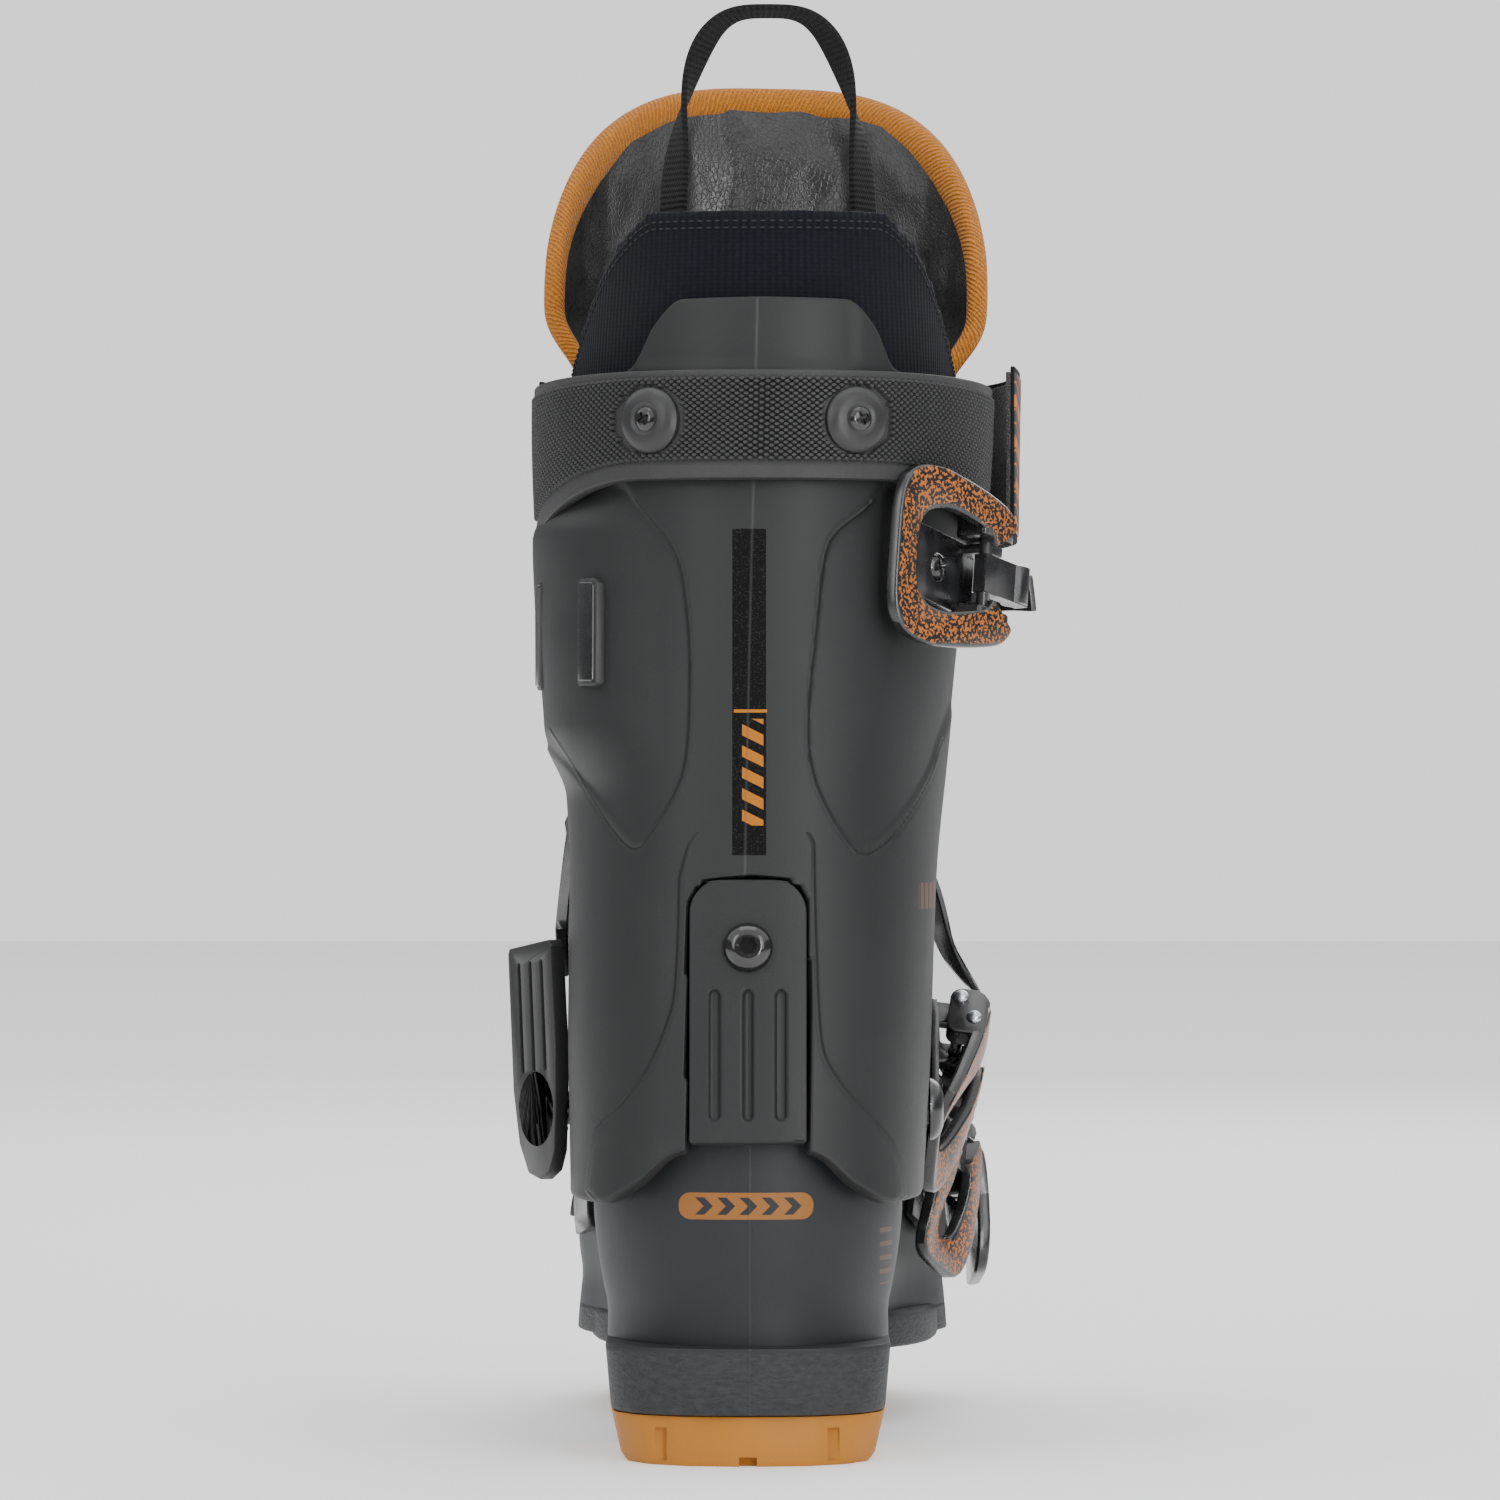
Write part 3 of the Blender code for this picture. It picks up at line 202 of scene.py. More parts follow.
def cuff_point(s, angle, out=0.0):
    """Outer face of the cuff; out grows its section. Angle 0 is the shin, 90 the outer side, 180 the calf."""
    turn = math.radians(angle)
    power = 2 / CUFF_SQUARE(s)
    half = CUFF_HALF(s) + out
    depth = (CUFF_FRONT(s) if math.cos(turn) > 0 else CUFF_BACK(s)) + out
    across = half * signed_power(math.sin(turn), power)
    along = depth * signed_power(math.cos(turn), power)
    return ANKLE + UP * s + SIDE * across + AHEAD * along


def cuff_s(z, angle):
    """How far up the shaft the cuff's outer face reaches height z."""
    s = 0.1
    for _ in range(12):
        s += z - cuff_point(s, angle).z
    return s


def from_front(angle):
    return abs((angle + 180.0) % 360.0 - 180.0)


def flap_lift(angle):
    """The outer flap rides over the inner one across the shin."""
    return (CUFF_WALL + FLAP_GAP) * (1 - ease((angle - 20.0) / 36.0))


def cuff_rear(x, z, out=0.0):
    """Outer face of the cuff's back at a given side position and height."""
    s = 0.1
    angle = 180.0
    for _ in range(14):
        centre = ANKLE + UP * s
        share = min(abs(x - centre.x) / (CUFF_HALF(s) + out), 0.99)
        angle = 180.0 - math.copysign(math.degrees(math.asin(share ** (CUFF_SQUARE(s) / 2))), x - centre.x)
        s += z - cuff_point(s, angle, out).z
    return cuff_point(s, angle, out)


def rear_frame(x, z, out=0.0):
    """(point, across, rise, outward) on the cuff's back; across points to the outer side."""
    across = (cuff_rear(x + 0.002, z, out) - cuff_rear(x - 0.002, z, out)).normalized()
    rise = (cuff_rear(x, z + 0.002, out) - cuff_rear(x, z - 0.002, out)).normalized()
    return cuff_rear(x, z, out), across, rise, across.cross(rise).normalized()


def strap_point(angle, height, out):
    """On the band round the calf; height runs from 0 at its lower edge to 1 at its upper one."""
    apart = max(from_front(angle), 90.0)
    z = mix(STRAP_LOW(apart), STRAP_HIGH(apart), height)
    return cuff_point(cuff_s(z, angle), angle, out)


def shaft_out(s):
    """The liner swells a little once it is clear of the cuff."""
    return -(CUFF_WALL + LINER_GAP) + 0.0012 * ease((s - 0.205) / 0.02)


def tongue_out(s):
    """The tongue lies inside the cuff and flares above it."""
    flare = 0.0100 * ease((s - 0.200) / 0.022) - 0.004 * ease((s - 0.240) / 0.060)
    return -(CUFF_WALL + LINER_GAP) + flare


# ---------------------------------------------------------------- mesh helpers


def add_object(name, mesh, *materials):
    obj = bpy.data.objects.new(name, mesh)
    bpy.context.scene.collection.objects.link(obj)
    if mesh.materials:
        mesh.materials.clear()
    for material in materials:
        mesh.materials.append(material)
    return obj


def apply_modifiers(obj):
    """Replaces the object's mesh with its evaluated one."""
    graph = bpy.context.evaluated_depsgraph_get()
    graph.update()
    made = bpy.data.meshes.new_from_object(obj.evaluated_get(graph))
    obj.modifiers.clear()
    obj.data = made
    return obj


def shade(obj, angle=35.0):
    obj.data.shade_smooth()
    obj.data.set_sharp_from_angle(angle=math.radians(angle))
    return obj


def recalculated(obj):
    """Merges doubles and turns a closed mesh's faces outwards."""
    bm = bmesh.new()
    bm.from_mesh(obj.data)
    bmesh.ops.remove_doubles(bm, verts=bm.verts, dist=1e-6)
    bmesh.ops.recalc_face_normals(bm, faces=bm.faces)
    bm.to_mesh(obj.data)
    bm.free()
    return obj


def add_modifier(obj, name, kind, **settings):
    modifier = obj.modifiers.new(name, kind)
    for key, value in settings.items():
        setattr(modifier, key, value)
    return modifier


def bevelled(obj, width, segments=2, angle=40.0, clamp=False):
    add_modifier(obj, "edge", "BEVEL", width=width, segments=segments, limit_method="ANGLE",
                 angle_limit=math.radians(angle), use_clamp_overlap=clamp)
    return apply_modifiers(obj)


def divided(obj, levels=1):
    add_modifier(obj, "smooth", "SUBSURF", levels=levels, render_levels=levels)
    return apply_modifiers(obj)


def grid_faces(rows, columns, wrap=False):
    """Quads over a grid: rows run up, columns run from the outer to the inner side."""
    faces = []
    for i in range(rows - 1):
        for j in range(columns if wrap else columns - 1):
            k = (j + 1) % columns
            faces.append((i * columns + j, (i + 1) * columns + j, (i + 1) * columns + k, i * columns + k))
    return faces


def grid_object(name, grid, faces, *materials):
    """Mesh from a rows x columns x 3 array of points, without the points that no face uses."""
    mesh = bpy.data.meshes.new(name)
    mesh.from_pydata(grid.reshape(-1, 3).tolist(), [], faces)
    bm = bmesh.new()
    bm.from_mesh(mesh)
    bmesh.ops.delete(bm, geom=[v for v in bm.verts if not v.link_faces], context="VERTS")
    bm.to_mesh(mesh)
    bm.free()
    return add_object(name, mesh, *materials)


def grid_normals(grid):
    """Unit normals of a grid, pointing out of the boot."""
    up = np.gradient(grid, axis=0)
    along = np.gradient(grid, axis=1)
    normals = np.cross(up, along)
    return normals / np.maximum(np.linalg.norm(normals, axis=2, keepdims=True), 1e-12)


def padding(name, outer, inner, *materials):
    """Closed soft piece between an outer and an inner grid of the same size."""
    rows, columns = outer.shape[:2]
    count = rows * columns
    faces = grid_faces(rows, columns)
    faces += [tuple(count + v for v in reversed(face)) for face in grid_faces(rows, columns)]
    rim = [*range(columns)]
    rim += [i * columns + columns - 1 for i in range(1, rows)]
    rim += [count - 1 - j for j in range(1, columns)]
    rim += [(rows - 1 - i) * columns for i in range(1, rows - 1)]
    faces += [(a, b, count + b, count + a) for a, b in zip(rim, rim[1:] + rim[:1])]
    obj = grid_object(name, np.concatenate([outer, inner]), faces, *materials)
    return recalculated(obj)


def skin(name, rings, *materials):
    """Capped skin over rings of points, with a map in metres: u along, v round."""
    bm = bmesh.new()
    layer = bm.loops.layers.uv.new("run")
    rows = [[bm.verts.new(p) for p in ring] for ring in rings]
    count = len(rings[0])
    centres = [sum((Vector(p) for p in ring), Vector()) / count for ring in rings]
    along = [0.0]
    for a, b in zip(centres, centres[1:]):
        along.append(along[-1] + (b - a).length)
    middle = rings[len(rings) // 2]
    around = [0.0]
    for i in range(count):
        around.append(around[-1] + (Vector(middle[(i + 1) % count]) - Vector(middle[i])).length)
    for i in range(len(rows) - 1):
        for j in range(count):
            k = (j + 1) % count
            face = bm.faces.new((rows[i][j], rows[i][k], rows[i + 1][k], rows[i + 1][j]))
            corners = ((along[i], around[j]), (along[i], around[j + 1]), (along[i + 1], around[j + 1]),
                       (along[i + 1], around[j]))
            for loop, corner in zip(face.loops, corners):
                loop[layer].uv = corner
    bm.faces.new(rows[0][::-1])
    bm.faces.new(rows[-1])
    bmesh.ops.recalc_face_normals(bm, faces=bm.faces)
    mesh = bpy.data.meshes.new(name)
    bm.to_mesh(mesh)
    bm.free()
    return add_object(name, mesh, *materials)


def prism(name, outline, low, high, *materials):
    """Straight extrusion of a flat (x, y) outline from z = low to z = high."""
    return skin(name, [[Vector((x, y, z)) for x, y in outline] for z in (low, high)], *materials)


def turned(name, profile, sides, *materials):
    """Round piece about local Z from (radius, height) pairs, top to bottom."""
    rings = [[Vector((r * math.cos(math.tau * i / sides), r * math.sin(math.tau * i / sides), z))
              for i in range(sides)] for r, z in profile]
    return shade(recalculated(skin(name, rings, *materials)), 32.0)


def boolean(obj, other, operation):
    add_modifier(obj, "join", "BOOLEAN", operation=operation, solver="EXACT", object=other)
    apply_modifiers(obj)
    bpy.data.objects.remove(other, do_unlink=True)
    return obj


def joined(first, *others):
    """One object out of several, each with its place and its materials baked in."""
    bm = bmesh.new()
    materials = []
    for obj in (first, *others):
        mesh = obj.data.copy()
        mesh.transform(obj.matrix_world)
        slots = []
        for material in mesh.materials:
            if material not in materials:
                materials.append(material)
            slots.append(materials.index(material))
        for face in mesh.polygons:
            face.material_index = slots[face.material_index]
        bm.from_mesh(mesh)
    made = bpy.data.meshes.new(first.name)
    bm.to_mesh(made)
    bm.free()
    name = first.name
    for obj in (first, *others):
        bpy.data.objects.remove(obj, do_unlink=True)
    return add_object(name, made, *materials)


def moved(obj, matrix):
    """Puts the piece's place into its mesh."""
    obj.data.transform(matrix)
    return obj


def walled(obj, thickness, offset=-1.0):
    """Thickens a sheet, inwards unless the offset says otherwise."""
    add_modifier(obj, "wall", "SOLIDIFY", thickness=thickness, offset=offset)
    return apply_modifiers(obj)


def placed(point, x, y, z):
    """Matrix with its origin at the point and these three local axes."""
    return Matrix.Translation(point) @ Matrix((x, y, z)).transposed().to_4x4()


def facing(point, normal, across=(1, 0, 0)):
    """Matrix at a point whose local Z is normal and whose local X is near across."""
    z = Vector(normal).normalized()
    x = Vector(across)
    x = (x - z * x.dot(z)).normalized()
    return placed(point, x, z.cross(x), z)


def refined(node, name, material, width=0.0004, segments=2, angle=35.0, quads=False, levels=0):
    """Copy of a CAD node with merged facets, rounded edges and, for bent strips, a smoothed length."""
    obj = add_object(name, frame["nodes"][node].data.copy(), material)
    bm = bmesh.new()
    bm.from_mesh(obj.data)
    for face in bm.faces:
        face.material_index = 0
    bmesh.ops.remove_doubles(bm, verts=bm.verts, dist=1e-5)
    if quads:
        bmesh.ops.join_triangles(bm, faces=bm.faces, angle_face_threshold=math.radians(25),
                                 angle_shape_threshold=math.radians(60))
    else:
        bmesh.ops.dissolve_limit(bm, angle_limit=math.radians(1.0), verts=bm.verts, edges=bm.edges)
    bm.to_mesh(obj.data)
    bm.free()
    if width:
        bevelled(obj, width, segments, angle, clamp=True)
    if levels:
        divided(obj, levels)
    return shade(obj, 40.0)


def finished(piece, slot, *nodes):
    """Hangs the piece on the body of the CAD nodes it stands for and hides those nodes; slot is not used."""
    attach(piece, NODE_BODY[nodes[0]])
    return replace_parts(piece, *nodes)


# ---------------------------------------------------------------- what repeats along a path or over a surface


def repeat_tree(name, unit):
    """Geometry Nodes tree that sets one small unit on every given point, turned by the point's own angles.

    unit is "stud", a low six-sided frustum, or "stitch", a rounded dash.
    """
    tree = bpy.data.node_groups.new(name, "GeometryNodeTree")
    tree.interface.new_socket("Places", in_out="INPUT", socket_type="NodeSocketGeometry")
    for label in ("Length", "Width", "Height"):
        tree.interface.new_socket(label, in_out="INPUT", socket_type="NodeSocketFloat")
    tree.interface.new_socket("Finish", in_out="INPUT", socket_type="NodeSocketMaterial")
    tree.interface.new_socket("Pieces", in_out="OUTPUT", socket_type="NodeSocketGeometry")
    nodes, links = tree.nodes, tree.links
    given = nodes.new("NodeGroupInput")
    if unit == "stud":
        shape = nodes.new("GeometryNodeMeshCone")
        shape.inputs["Vertices"].default_value = 6
        shape.inputs["Radius Top"].default_value = 0.24
        shape.inputs["Radius Bottom"].default_value = 0.5
        shape.inputs["Depth"].default_value = 1.0
    else:
        shape = nodes.new("GeometryNodeMeshUVSphere")
        shape.inputs["Segments"].default_value = 8
        shape.inputs["Rings"].default_value = 5
        shape.inputs["Radius"].default_value = 0.5
    size = nodes.new("ShaderNodeCombineXYZ")
    for label, axis in (("Length", "X"), ("Width", "Y"), ("Height", "Z")):
        links.new(given.outputs[label], size.inputs[axis])
    turn = nodes.new("GeometryNodeInputNamedAttribute")
    turn.data_type = "FLOAT_VECTOR"
    turn.inputs["Name"].default_value = "turn"
    rotation = nodes.new("FunctionNodeEulerToRotation")
    links.new(turn.outputs["Attribute"], rotation.inputs[0])
    place = nodes.new("GeometryNodeInstanceOnPoints")
    links.new(given.outputs["Places"], place.inputs["Points"])
    links.new(shape.outputs["Mesh"], place.inputs["Instance"])
    links.new(rotation.outputs[0], place.inputs["Rotation"])
    links.new(size.outputs[0], place.inputs["Scale"])
    real = nodes.new("GeometryNodeRealizeInstances")
    links.new(place.outputs["Instances"], real.inputs["Geometry"])
    finish = nodes.new("GeometryNodeSetMaterial")
    links.new(real.outputs["Geometry"], finish.inputs["Geometry"])
    links.new(given.outputs["Finish"], finish.inputs["Material"])
    result = nodes.new("NodeGroupOutput")
    links.new(finish.outputs["Geometry"], result.inputs["Pieces"])
    return tree


def repeated(name, tree, frames, size, material):
    """Plain mesh of the tree's units at the given (point, along, outward) frames."""
    mesh = bpy.data.meshes.new(name + "_places")
    mesh.from_pydata([tuple(point) for point, _, _ in frames], [], [])
    turn = mesh.attributes.new("turn", "FLOAT_VECTOR", "POINT")
    for i, (point, along, outward) in enumerate(frames):
        turn.data[i].vector = facing(point, outward, along).to_euler()
    obj = bpy.data.objects.new(name, mesh)
    bpy.context.scene.collection.objects.link(obj)
    modifier = obj.modifiers.new("repeat", "NODES")
    modifier.node_group = tree
    sockets = {item.name: item.identifier for item in tree.interface.items_tree if item.in_out == "INPUT"}
    for label, value in zip(("Length", "Width", "Height"), size):
        modifier[sockets[label]] = value
    modifier[sockets["Finish"]] = material
    apply_modifiers(obj)
    return shade(obj, 50.0)


# ---------------------------------------------------------------- materials


class Finish:
    """One Principled material built from short node chains."""

    def __init__(self, name, colour, roughness, metallic=0.0, **fixed):
        self.material = bpy.data.materials.new(name)
        self.material.use_nodes = True
        self.nodes = self.material.node_tree.nodes
        self.links = self.material.node_tree.links
        self.shader = self.nodes["Principled BSDF"]
        self.shader.inputs["Base Color"].default_value = (*colour, 1.0)
        self.shader.inputs["Roughness"].default_value = roughness
        self.shader.inputs["Metallic"].default_value = metallic
        for key, value in fixed.items():
            self.shader.inputs[key.replace("_", " ")].default_value = value
        self.height = None

    def node(self, kind, **settings):
        made = self.nodes.new(kind)
        for key, value in settings.items():
            setattr(made, key, value)
        return made

    def put(self, socket, value):
        if isinstance(value, bpy.types.NodeSocket):
            self.links.new(value, socket)
        else:
            socket.default_value = value

    def math(self, operation, a, b=0.0, c=0.0, clamp=False):
        made = self.node("ShaderNodeMath", operation=operation, use_clamp=clamp)
        for socket, value in zip(made.inputs, (a, b, c)):
            self.put(socket, value)
        return made.outputs[0]

    def times(self, a, b):
        return self.math("MULTIPLY", a, b)

    def dashes(self, value, pitch, share):
        """1 on the first share of every pitch, 0 on the rest."""
        return self.math("LESS_THAN", self.math("FRACT", self.times(value, 1 / pitch)), share)

    def wave(self, value, pitch):
        return self.math("SINE", self.times(value, math.tau / pitch))

    def place(self, stretch=(1, 1, 1)):
        coordinates = self.node("ShaderNodeTexCoord")
        mapping = self.node("ShaderNodeMapping")
        mapping.inputs["Scale"].default_value = stretch
        self.links.new(coordinates.outputs["Object"], mapping.inputs["Vector"])
        return mapping.outputs[0]

    def parts(self):
        split = self.node("ShaderNodeSeparateXYZ")
        self.links.new(self.node("ShaderNodeTexCoord").outputs["Object"], split.inputs[0])
        return split.outputs

    def run(self):
        """(along, round) in metres, from the piece's own map."""
        split = self.node("ShaderNodeSeparateXYZ")
        self.links.new(self.node("ShaderNodeUVMap", uv_map="run").outputs[0], split.inputs[0])
        return split.outputs[0], split.outputs[1]

    def noise(self, scale, detail=2.0, stretch=(1, 1, 1), roughness=0.5):
        made = self.node("ShaderNodeTexNoise")
        self.links.new(self.place(stretch), made.inputs["Vector"])
        made.inputs["Scale"].default_value = scale
        made.inputs["Detail"].default_value = detail
        made.inputs["Roughness"].default_value = roughness
        return made.outputs[0]

    def cells(self, scale, feature="F1", stretch=(1, 1, 1)):
        made = self.node("ShaderNodeTexVoronoi", feature=feature)
        self.links.new(self.place(stretch), made.inputs["Vector"])
        made.inputs["Scale"].default_value = scale
        return made.outputs["Distance"]

    def ramp(self, value, low, high, start=0.0, end=1.0):
        made = self.node("ShaderNodeMapRange", clamp=True)
        for socket, number in zip(made.inputs[:5], (value, low, high, start, end)):
            self.put(socket, number)
        return made.outputs[0]

    def blend(self, share, a, b):
        made = self.node("ShaderNodeMix", data_type="RGBA")
        self.put(made.inputs[0], share)
        self.put(made.inputs[6], (*a, 1.0) if isinstance(a, tuple) else a)
        self.put(made.inputs[7], (*b, 1.0) if isinstance(b, tuple) else b)
        return made.outputs[2]

    def colour(self, value):
        self.links.new(value, self.shader.inputs["Base Color"])

    def rough(self, value):
        self.links.new(value, self.shader.inputs["Roughness"])

    def bump(self, height, depth, strength=1.0):
        """Adds relief of that depth in metres, on top of any before it."""
        made = self.node("ShaderNodeBump")
        made.inputs["Strength"].default_value = strength
        made.inputs["Distance"].default_value = depth
        self.links.new(height, made.inputs["Height"])
        if self.height:
            self.links.new(self.height, made.inputs["Normal"])
        self.height = made.outputs[0]
        self.links.new(self.height, self.shader.inputs["Normal"])

    def box_mask(self, x, z, centre, half):
        """1 inside an upright rectangle, 0 outside."""
        across = self.math("COMPARE", x, centre[0], half[0])
        return self.math("MULTIPLY", across, self.math("COMPARE", z, centre[1], half[1]))

    def rounded_mask(self, x, z, centre, half, corner):
        """1 inside a rectangle with round corners."""
        far = []
        for value, middle, reach in ((x, centre[0], half[0]), (z, centre[1], half[1])):
            away = self.math("ABSOLUTE", self.math("SUBTRACT", value, middle))
            past = self.math("MAXIMUM", self.math("SUBTRACT", away, reach - corner), 0.0)
            far.append(self.math("POWER", past, 2.0))
        return self.math("LESS_THAN", self.math("ADD", *far), corner * corner)


PLASTIC = (0.0190, 0.0195, 0.0200)
PLASTIC_WORN = (0.034, 0.034, 0.034)
ORANGE = (0.42, 0.145, 0.014)


def moulded(name, colour, worn):
    """Matt moulded plastic: fine grain, faint clouding, thin rubbed scratches."""
    made = Finish(name, colour, 0.5, Specular_IOR_Level=0.32)
    cloud = made.noise(26.0, 4.0)
    fleck = made.noise(1900.0, 1.0)
    scratch = made.ramp(made.noise(90.0, 3.0, (1.0, 1.0, 9.0), 0.7), 0.70, 0.76)
    share = made.math("ADD", made.times(cloud, 0.45), made.times(fleck, 0.35))
    base = made.blend(share, tuple(c * 0.78 for c in colour), tuple(c * 1.22 for c in colour))
    made.colour(made.blend(made.times(scratch, 0.35), base, worn))
    made.rough(made.ramp(made.math("ADD", cloud, made.times(fleck, 0.6)), 0.4, 1.2, 0.43, 0.58))
    made.bump(fleck, 0.00006, 0.55)
    return made, base


def seam(made, x, z, y, lean, start, width, depth):
    """Raised parting line that runs up the middle of the back: x = start + lean * z."""
    line = made.math("ABSOLUTE", made.math("SUBTRACT", x, made.math("MULTIPLY_ADD", z, lean, start)))
    ridge = made.ramp(line, 0.0, width, 1.0, 0.0)
    ridge = made.times(ridge, made.math("LESS_THAN", y, 0.05))
    made.bump(ridge, depth, 0.8)
    return ridge


# Prints on the back, as (centre, half size) in x and z
STRIPE = ((0.0003, 0.1955), (0.0043, 0.0415))
BARS = ((0.0012, 0.1750), (0.0027, 0.0135))
RULE = ((0.0006, 0.1905), (0.0042, 0.0004))
SMALL_LINES = ((0.0462, 0.1431), (0.0024, 0.0034))
BADGE = ((-0.0005, 0.0655), (0.0170, 0.0034))
HEEL_MARKS = ((0.0352, 0.0525), (0.0016, 0.0085))
CUFF_SEAM_LEAN = 0.022
CUFF_SEAM_START = -0.0042


def cuff_finish():
    """Cuff plastic with its parting line, the dark stripe and the orange bars printed up the back, painted shade
    along its creases and a painted highlight on the parting line.
    """
    made, base = moulded("cuff_plastic", PLASTIC, PLASTIC_WORN)
    x, y, z = made.parts()[:]
    back = made.math("LESS_THAN", y, 0.03)
    ridge = seam(made, x, z, y, CUFF_SEAM_LEAN, CUFF_SEAM_START, 0.0005, 0.00018)
    stripe = made.times(made.box_mask(x, z, *STRIPE), back)
    glitter = made.ramp(made.noise(2600.0, 0.0), 0.62, 0.72, 0.0, 1.0)
    dark = made.blend(made.times(glitter, 0.5), (0.003, 0.003, 0.0035), (0.035, 0.035, 0.035))
    colour = made.blend(stripe, base, dark)
    made.put(made.shader.inputs["Specular IOR Level"], made.ramp(stripe, 0.0, 1.0, 0.32, 0.10))
    bars = made.times(made.box_mask(x, z, *BARS), back)
    slanted = made.dashes(made.math("ADD", z, made.times(x, 0.5)), 0.0054, 0.52)
    bars = made.times(bars, slanted)
    rule = made.times(made.box_mask(x, z, *RULE), back)
    printed = made.math("MAXIMUM", bars, rule)
    colour = made.blend(printed, colour, ORANGE)
    lines = made.times(made.box_mask(x, z, *SMALL_LINES), back)
    comb = made.dashes(x, 0.0012, 0.6)
    colour = made.blend(made.times(made.times(lines, comb), 0.55), colour, (0.20, 0.075, 0.035))
    # Painted highlight: the raised parting line is coloured lighter grey.
    colour = made.blend(made.times(ridge, 0.35), colour, (0.07, 0.07, 0.07))
    near = [made.math("ABSOLUTE", made.node("ShaderNodeAttribute", attribute_name=name).outputs["Fac"])
            for name in ("panels", "apron")]
    line = made.ramp(made.math("MINIMUM", *near), 0.0, 0.0006, 1.0, 0.0)
    made.bump(line, 0.00035, 0.9)
    # Painted shade: the colour darkens to near black along each crease line, on top of the groove bump.
    made.colour(made.blend(made.times(line, 0.6), colour, (0.006, 0.006, 0.006)))
    return made.material


def shell_finish():
    """Lower shell plastic: parting line painted lighter as a highlight, tan heel badge with plain chevrons, coarse
    grain low on the lugs.
    """
    made, base = moulded("shell_plastic", (0.0185, 0.0200, 0.0220), PLASTIC_WORN)
    x, y, z = made.parts()[:]
    back = made.math("LESS_THAN", y, 0.0)
    ridge = seam(made, x, z, y, 0.0, 0.0003, 0.0004, 0.00014)
    badge = made.times(made.rounded_mask(x, z, *BADGE, 0.0030), back)
    peak = made.math("ABSOLUTE", made.math("SUBTRACT", z, BADGE[0][1]))
    chevron = made.dashes(made.math("ADD", x, peak), 0.0056, 0.42)
    chevron = made.times(chevron, made.math("LESS_THAN", peak, 0.0022))
    chevron = made.times(chevron, made.math("LESS_THAN", made.math("ABSOLUTE", x), 0.0145))
    tan = made.times(badge, made.math("SUBTRACT", 1.0, chevron))
    # Painted highlight: the raised parting line is coloured lighter grey.
    colour = made.blend(made.times(ridge, 0.25), base, (0.05, 0.05, 0.052))
    colour = made.blend(tan, colour, (0.27, 0.105, 0.020))
    marks = made.times(made.box_mask(x, z, *HEEL_MARKS), back)
    rows = made.dashes(z, 0.0036, 0.35)
    colour = made.blend(made.times(made.times(marks, rows), 0.5), colour, (0.16, 0.075, 0.05))
    low = made.ramp(z, 0.0282, 0.0292, 1.0, 0.0)
    coarse = made.noise(420.0, 4.0, (1.0, 1.0, 2.6), 0.65)
    pale = made.times(low, made.ramp(coarse, 0.35, 0.75))
    colour = made.blend(pale, colour, (0.040, 0.042, 0.044))
    made.colour(colour)
    made.bump(made.times(coarse, low), 0.0009, 0.8)
    return made.material


def plain_cuff_finish():
    """The cuff's plastic without its prints, for the plate at the back."""
    return moulded("plate_plastic", PLASTIC, PLASTIC_WORN)[0].material


def tan_finish():
    """Tan sole rubber, a little dusty."""
    made = Finish("tan_rubber", (0.42, 0.16, 0.014), 0.55, Specular_IOR_Level=0.35)
    cloud = made.noise(38.0, 4.0)
    fine = made.noise(1500.0, 2.0)
    share = made.math("ADD", made.times(cloud, 0.7), made.times(fine, 0.3))
    made.colour(made.blend(share, (0.37, 0.135, 0.010), (0.48, 0.190, 0.020)))
    made.rough(made.ramp(cloud, 0.3, 0.7, 0.50, 0.64))
    made.bump(fine, 0.00008, 0.5)
    return made.material


def coated_finish(name="black_metal", colour=(0.010, 0.010, 0.011), low=0.20, high=0.36):
    """Black coated metal with soft gloss and fine wear."""
    made = Finish(name, colour, 0.3, 0.0, Coat_Weight=0.35, Coat_Roughness=0.18, Specular_IOR_Level=0.65)
    wear = made.noise(160.0, 5.0)
    made.colour(made.blend(made.ramp(wear, 0.55, 0.8), colour, tuple(c * 2.6 for c in colour)))
    made.rough(made.ramp(wear, 0.3, 0.7, low, high))
    made.bump(made.noise(700.0, 2.0), 0.00004, 0.4)
    return made.material


def moulded_black():
    made = Finish("black_plastic", (0.020, 0.020, 0.021), 0.42)
    fine = made.noise(1600.0, 2.0)
    made.colour(made.blend(fine, (0.014, 0.014, 0.015), (0.028, 0.028, 0.029)))
    made.rough(made.ramp(made.noise(60.0, 3.0), 0.3, 0.7, 0.34, 0.5))
    made.bump(fine, 0.00006, 0.5)
    return made.material


def zinc_finish():
    made = Finish("zinc", (0.62, 0.64, 0.67), 0.28, 1.0)
    brushed = made.noise(900.0, 3.0, (1.0, 6.0, 1.0))
    made.colour(made.blend(brushed, (0.50, 0.52, 0.56), (0.74, 0.76, 0.78)))
    made.rough(made.ramp(brushed, 0.3, 0.7, 0.2, 0.36))
    return made.material


def speckle_finish():
    """Black coat with worm-like orange speckle."""
    made = Finish("speckle_paint", (0.02, 0.015, 0.01), 0.38, 0.0, Coat_Weight=0.2, Coat_Roughness=0.3)
    fleck = made.noise(1150.0, 1.5)
    mask = made.ramp(fleck, 0.515, 0.545)
    made.colour(made.blend(mask, (0.008, 0.007, 0.006), (0.40, 0.115, 0.011)))
    made.rough(made.ramp(fleck, 0.4, 0.6, 0.34, 0.48))
    made.bump(mask, 0.00005, 0.5)
    return made.material


def band_finish():
    made = Finish("band_rubber", (0.022, 0.022, 0.023), 0.62)
    cloud = made.noise(70.0, 3.0)
    fine = made.noise(1800.0, 2.0)
    made.colour(made.blend(cloud, (0.020, 0.020, 0.021), (0.034, 0.034, 0.035)))
    made.rough(made.ramp(fine, 0.3, 0.7, 0.54, 0.70))
    made.bump(fine, 0.00006, 0.5)
    return made.material


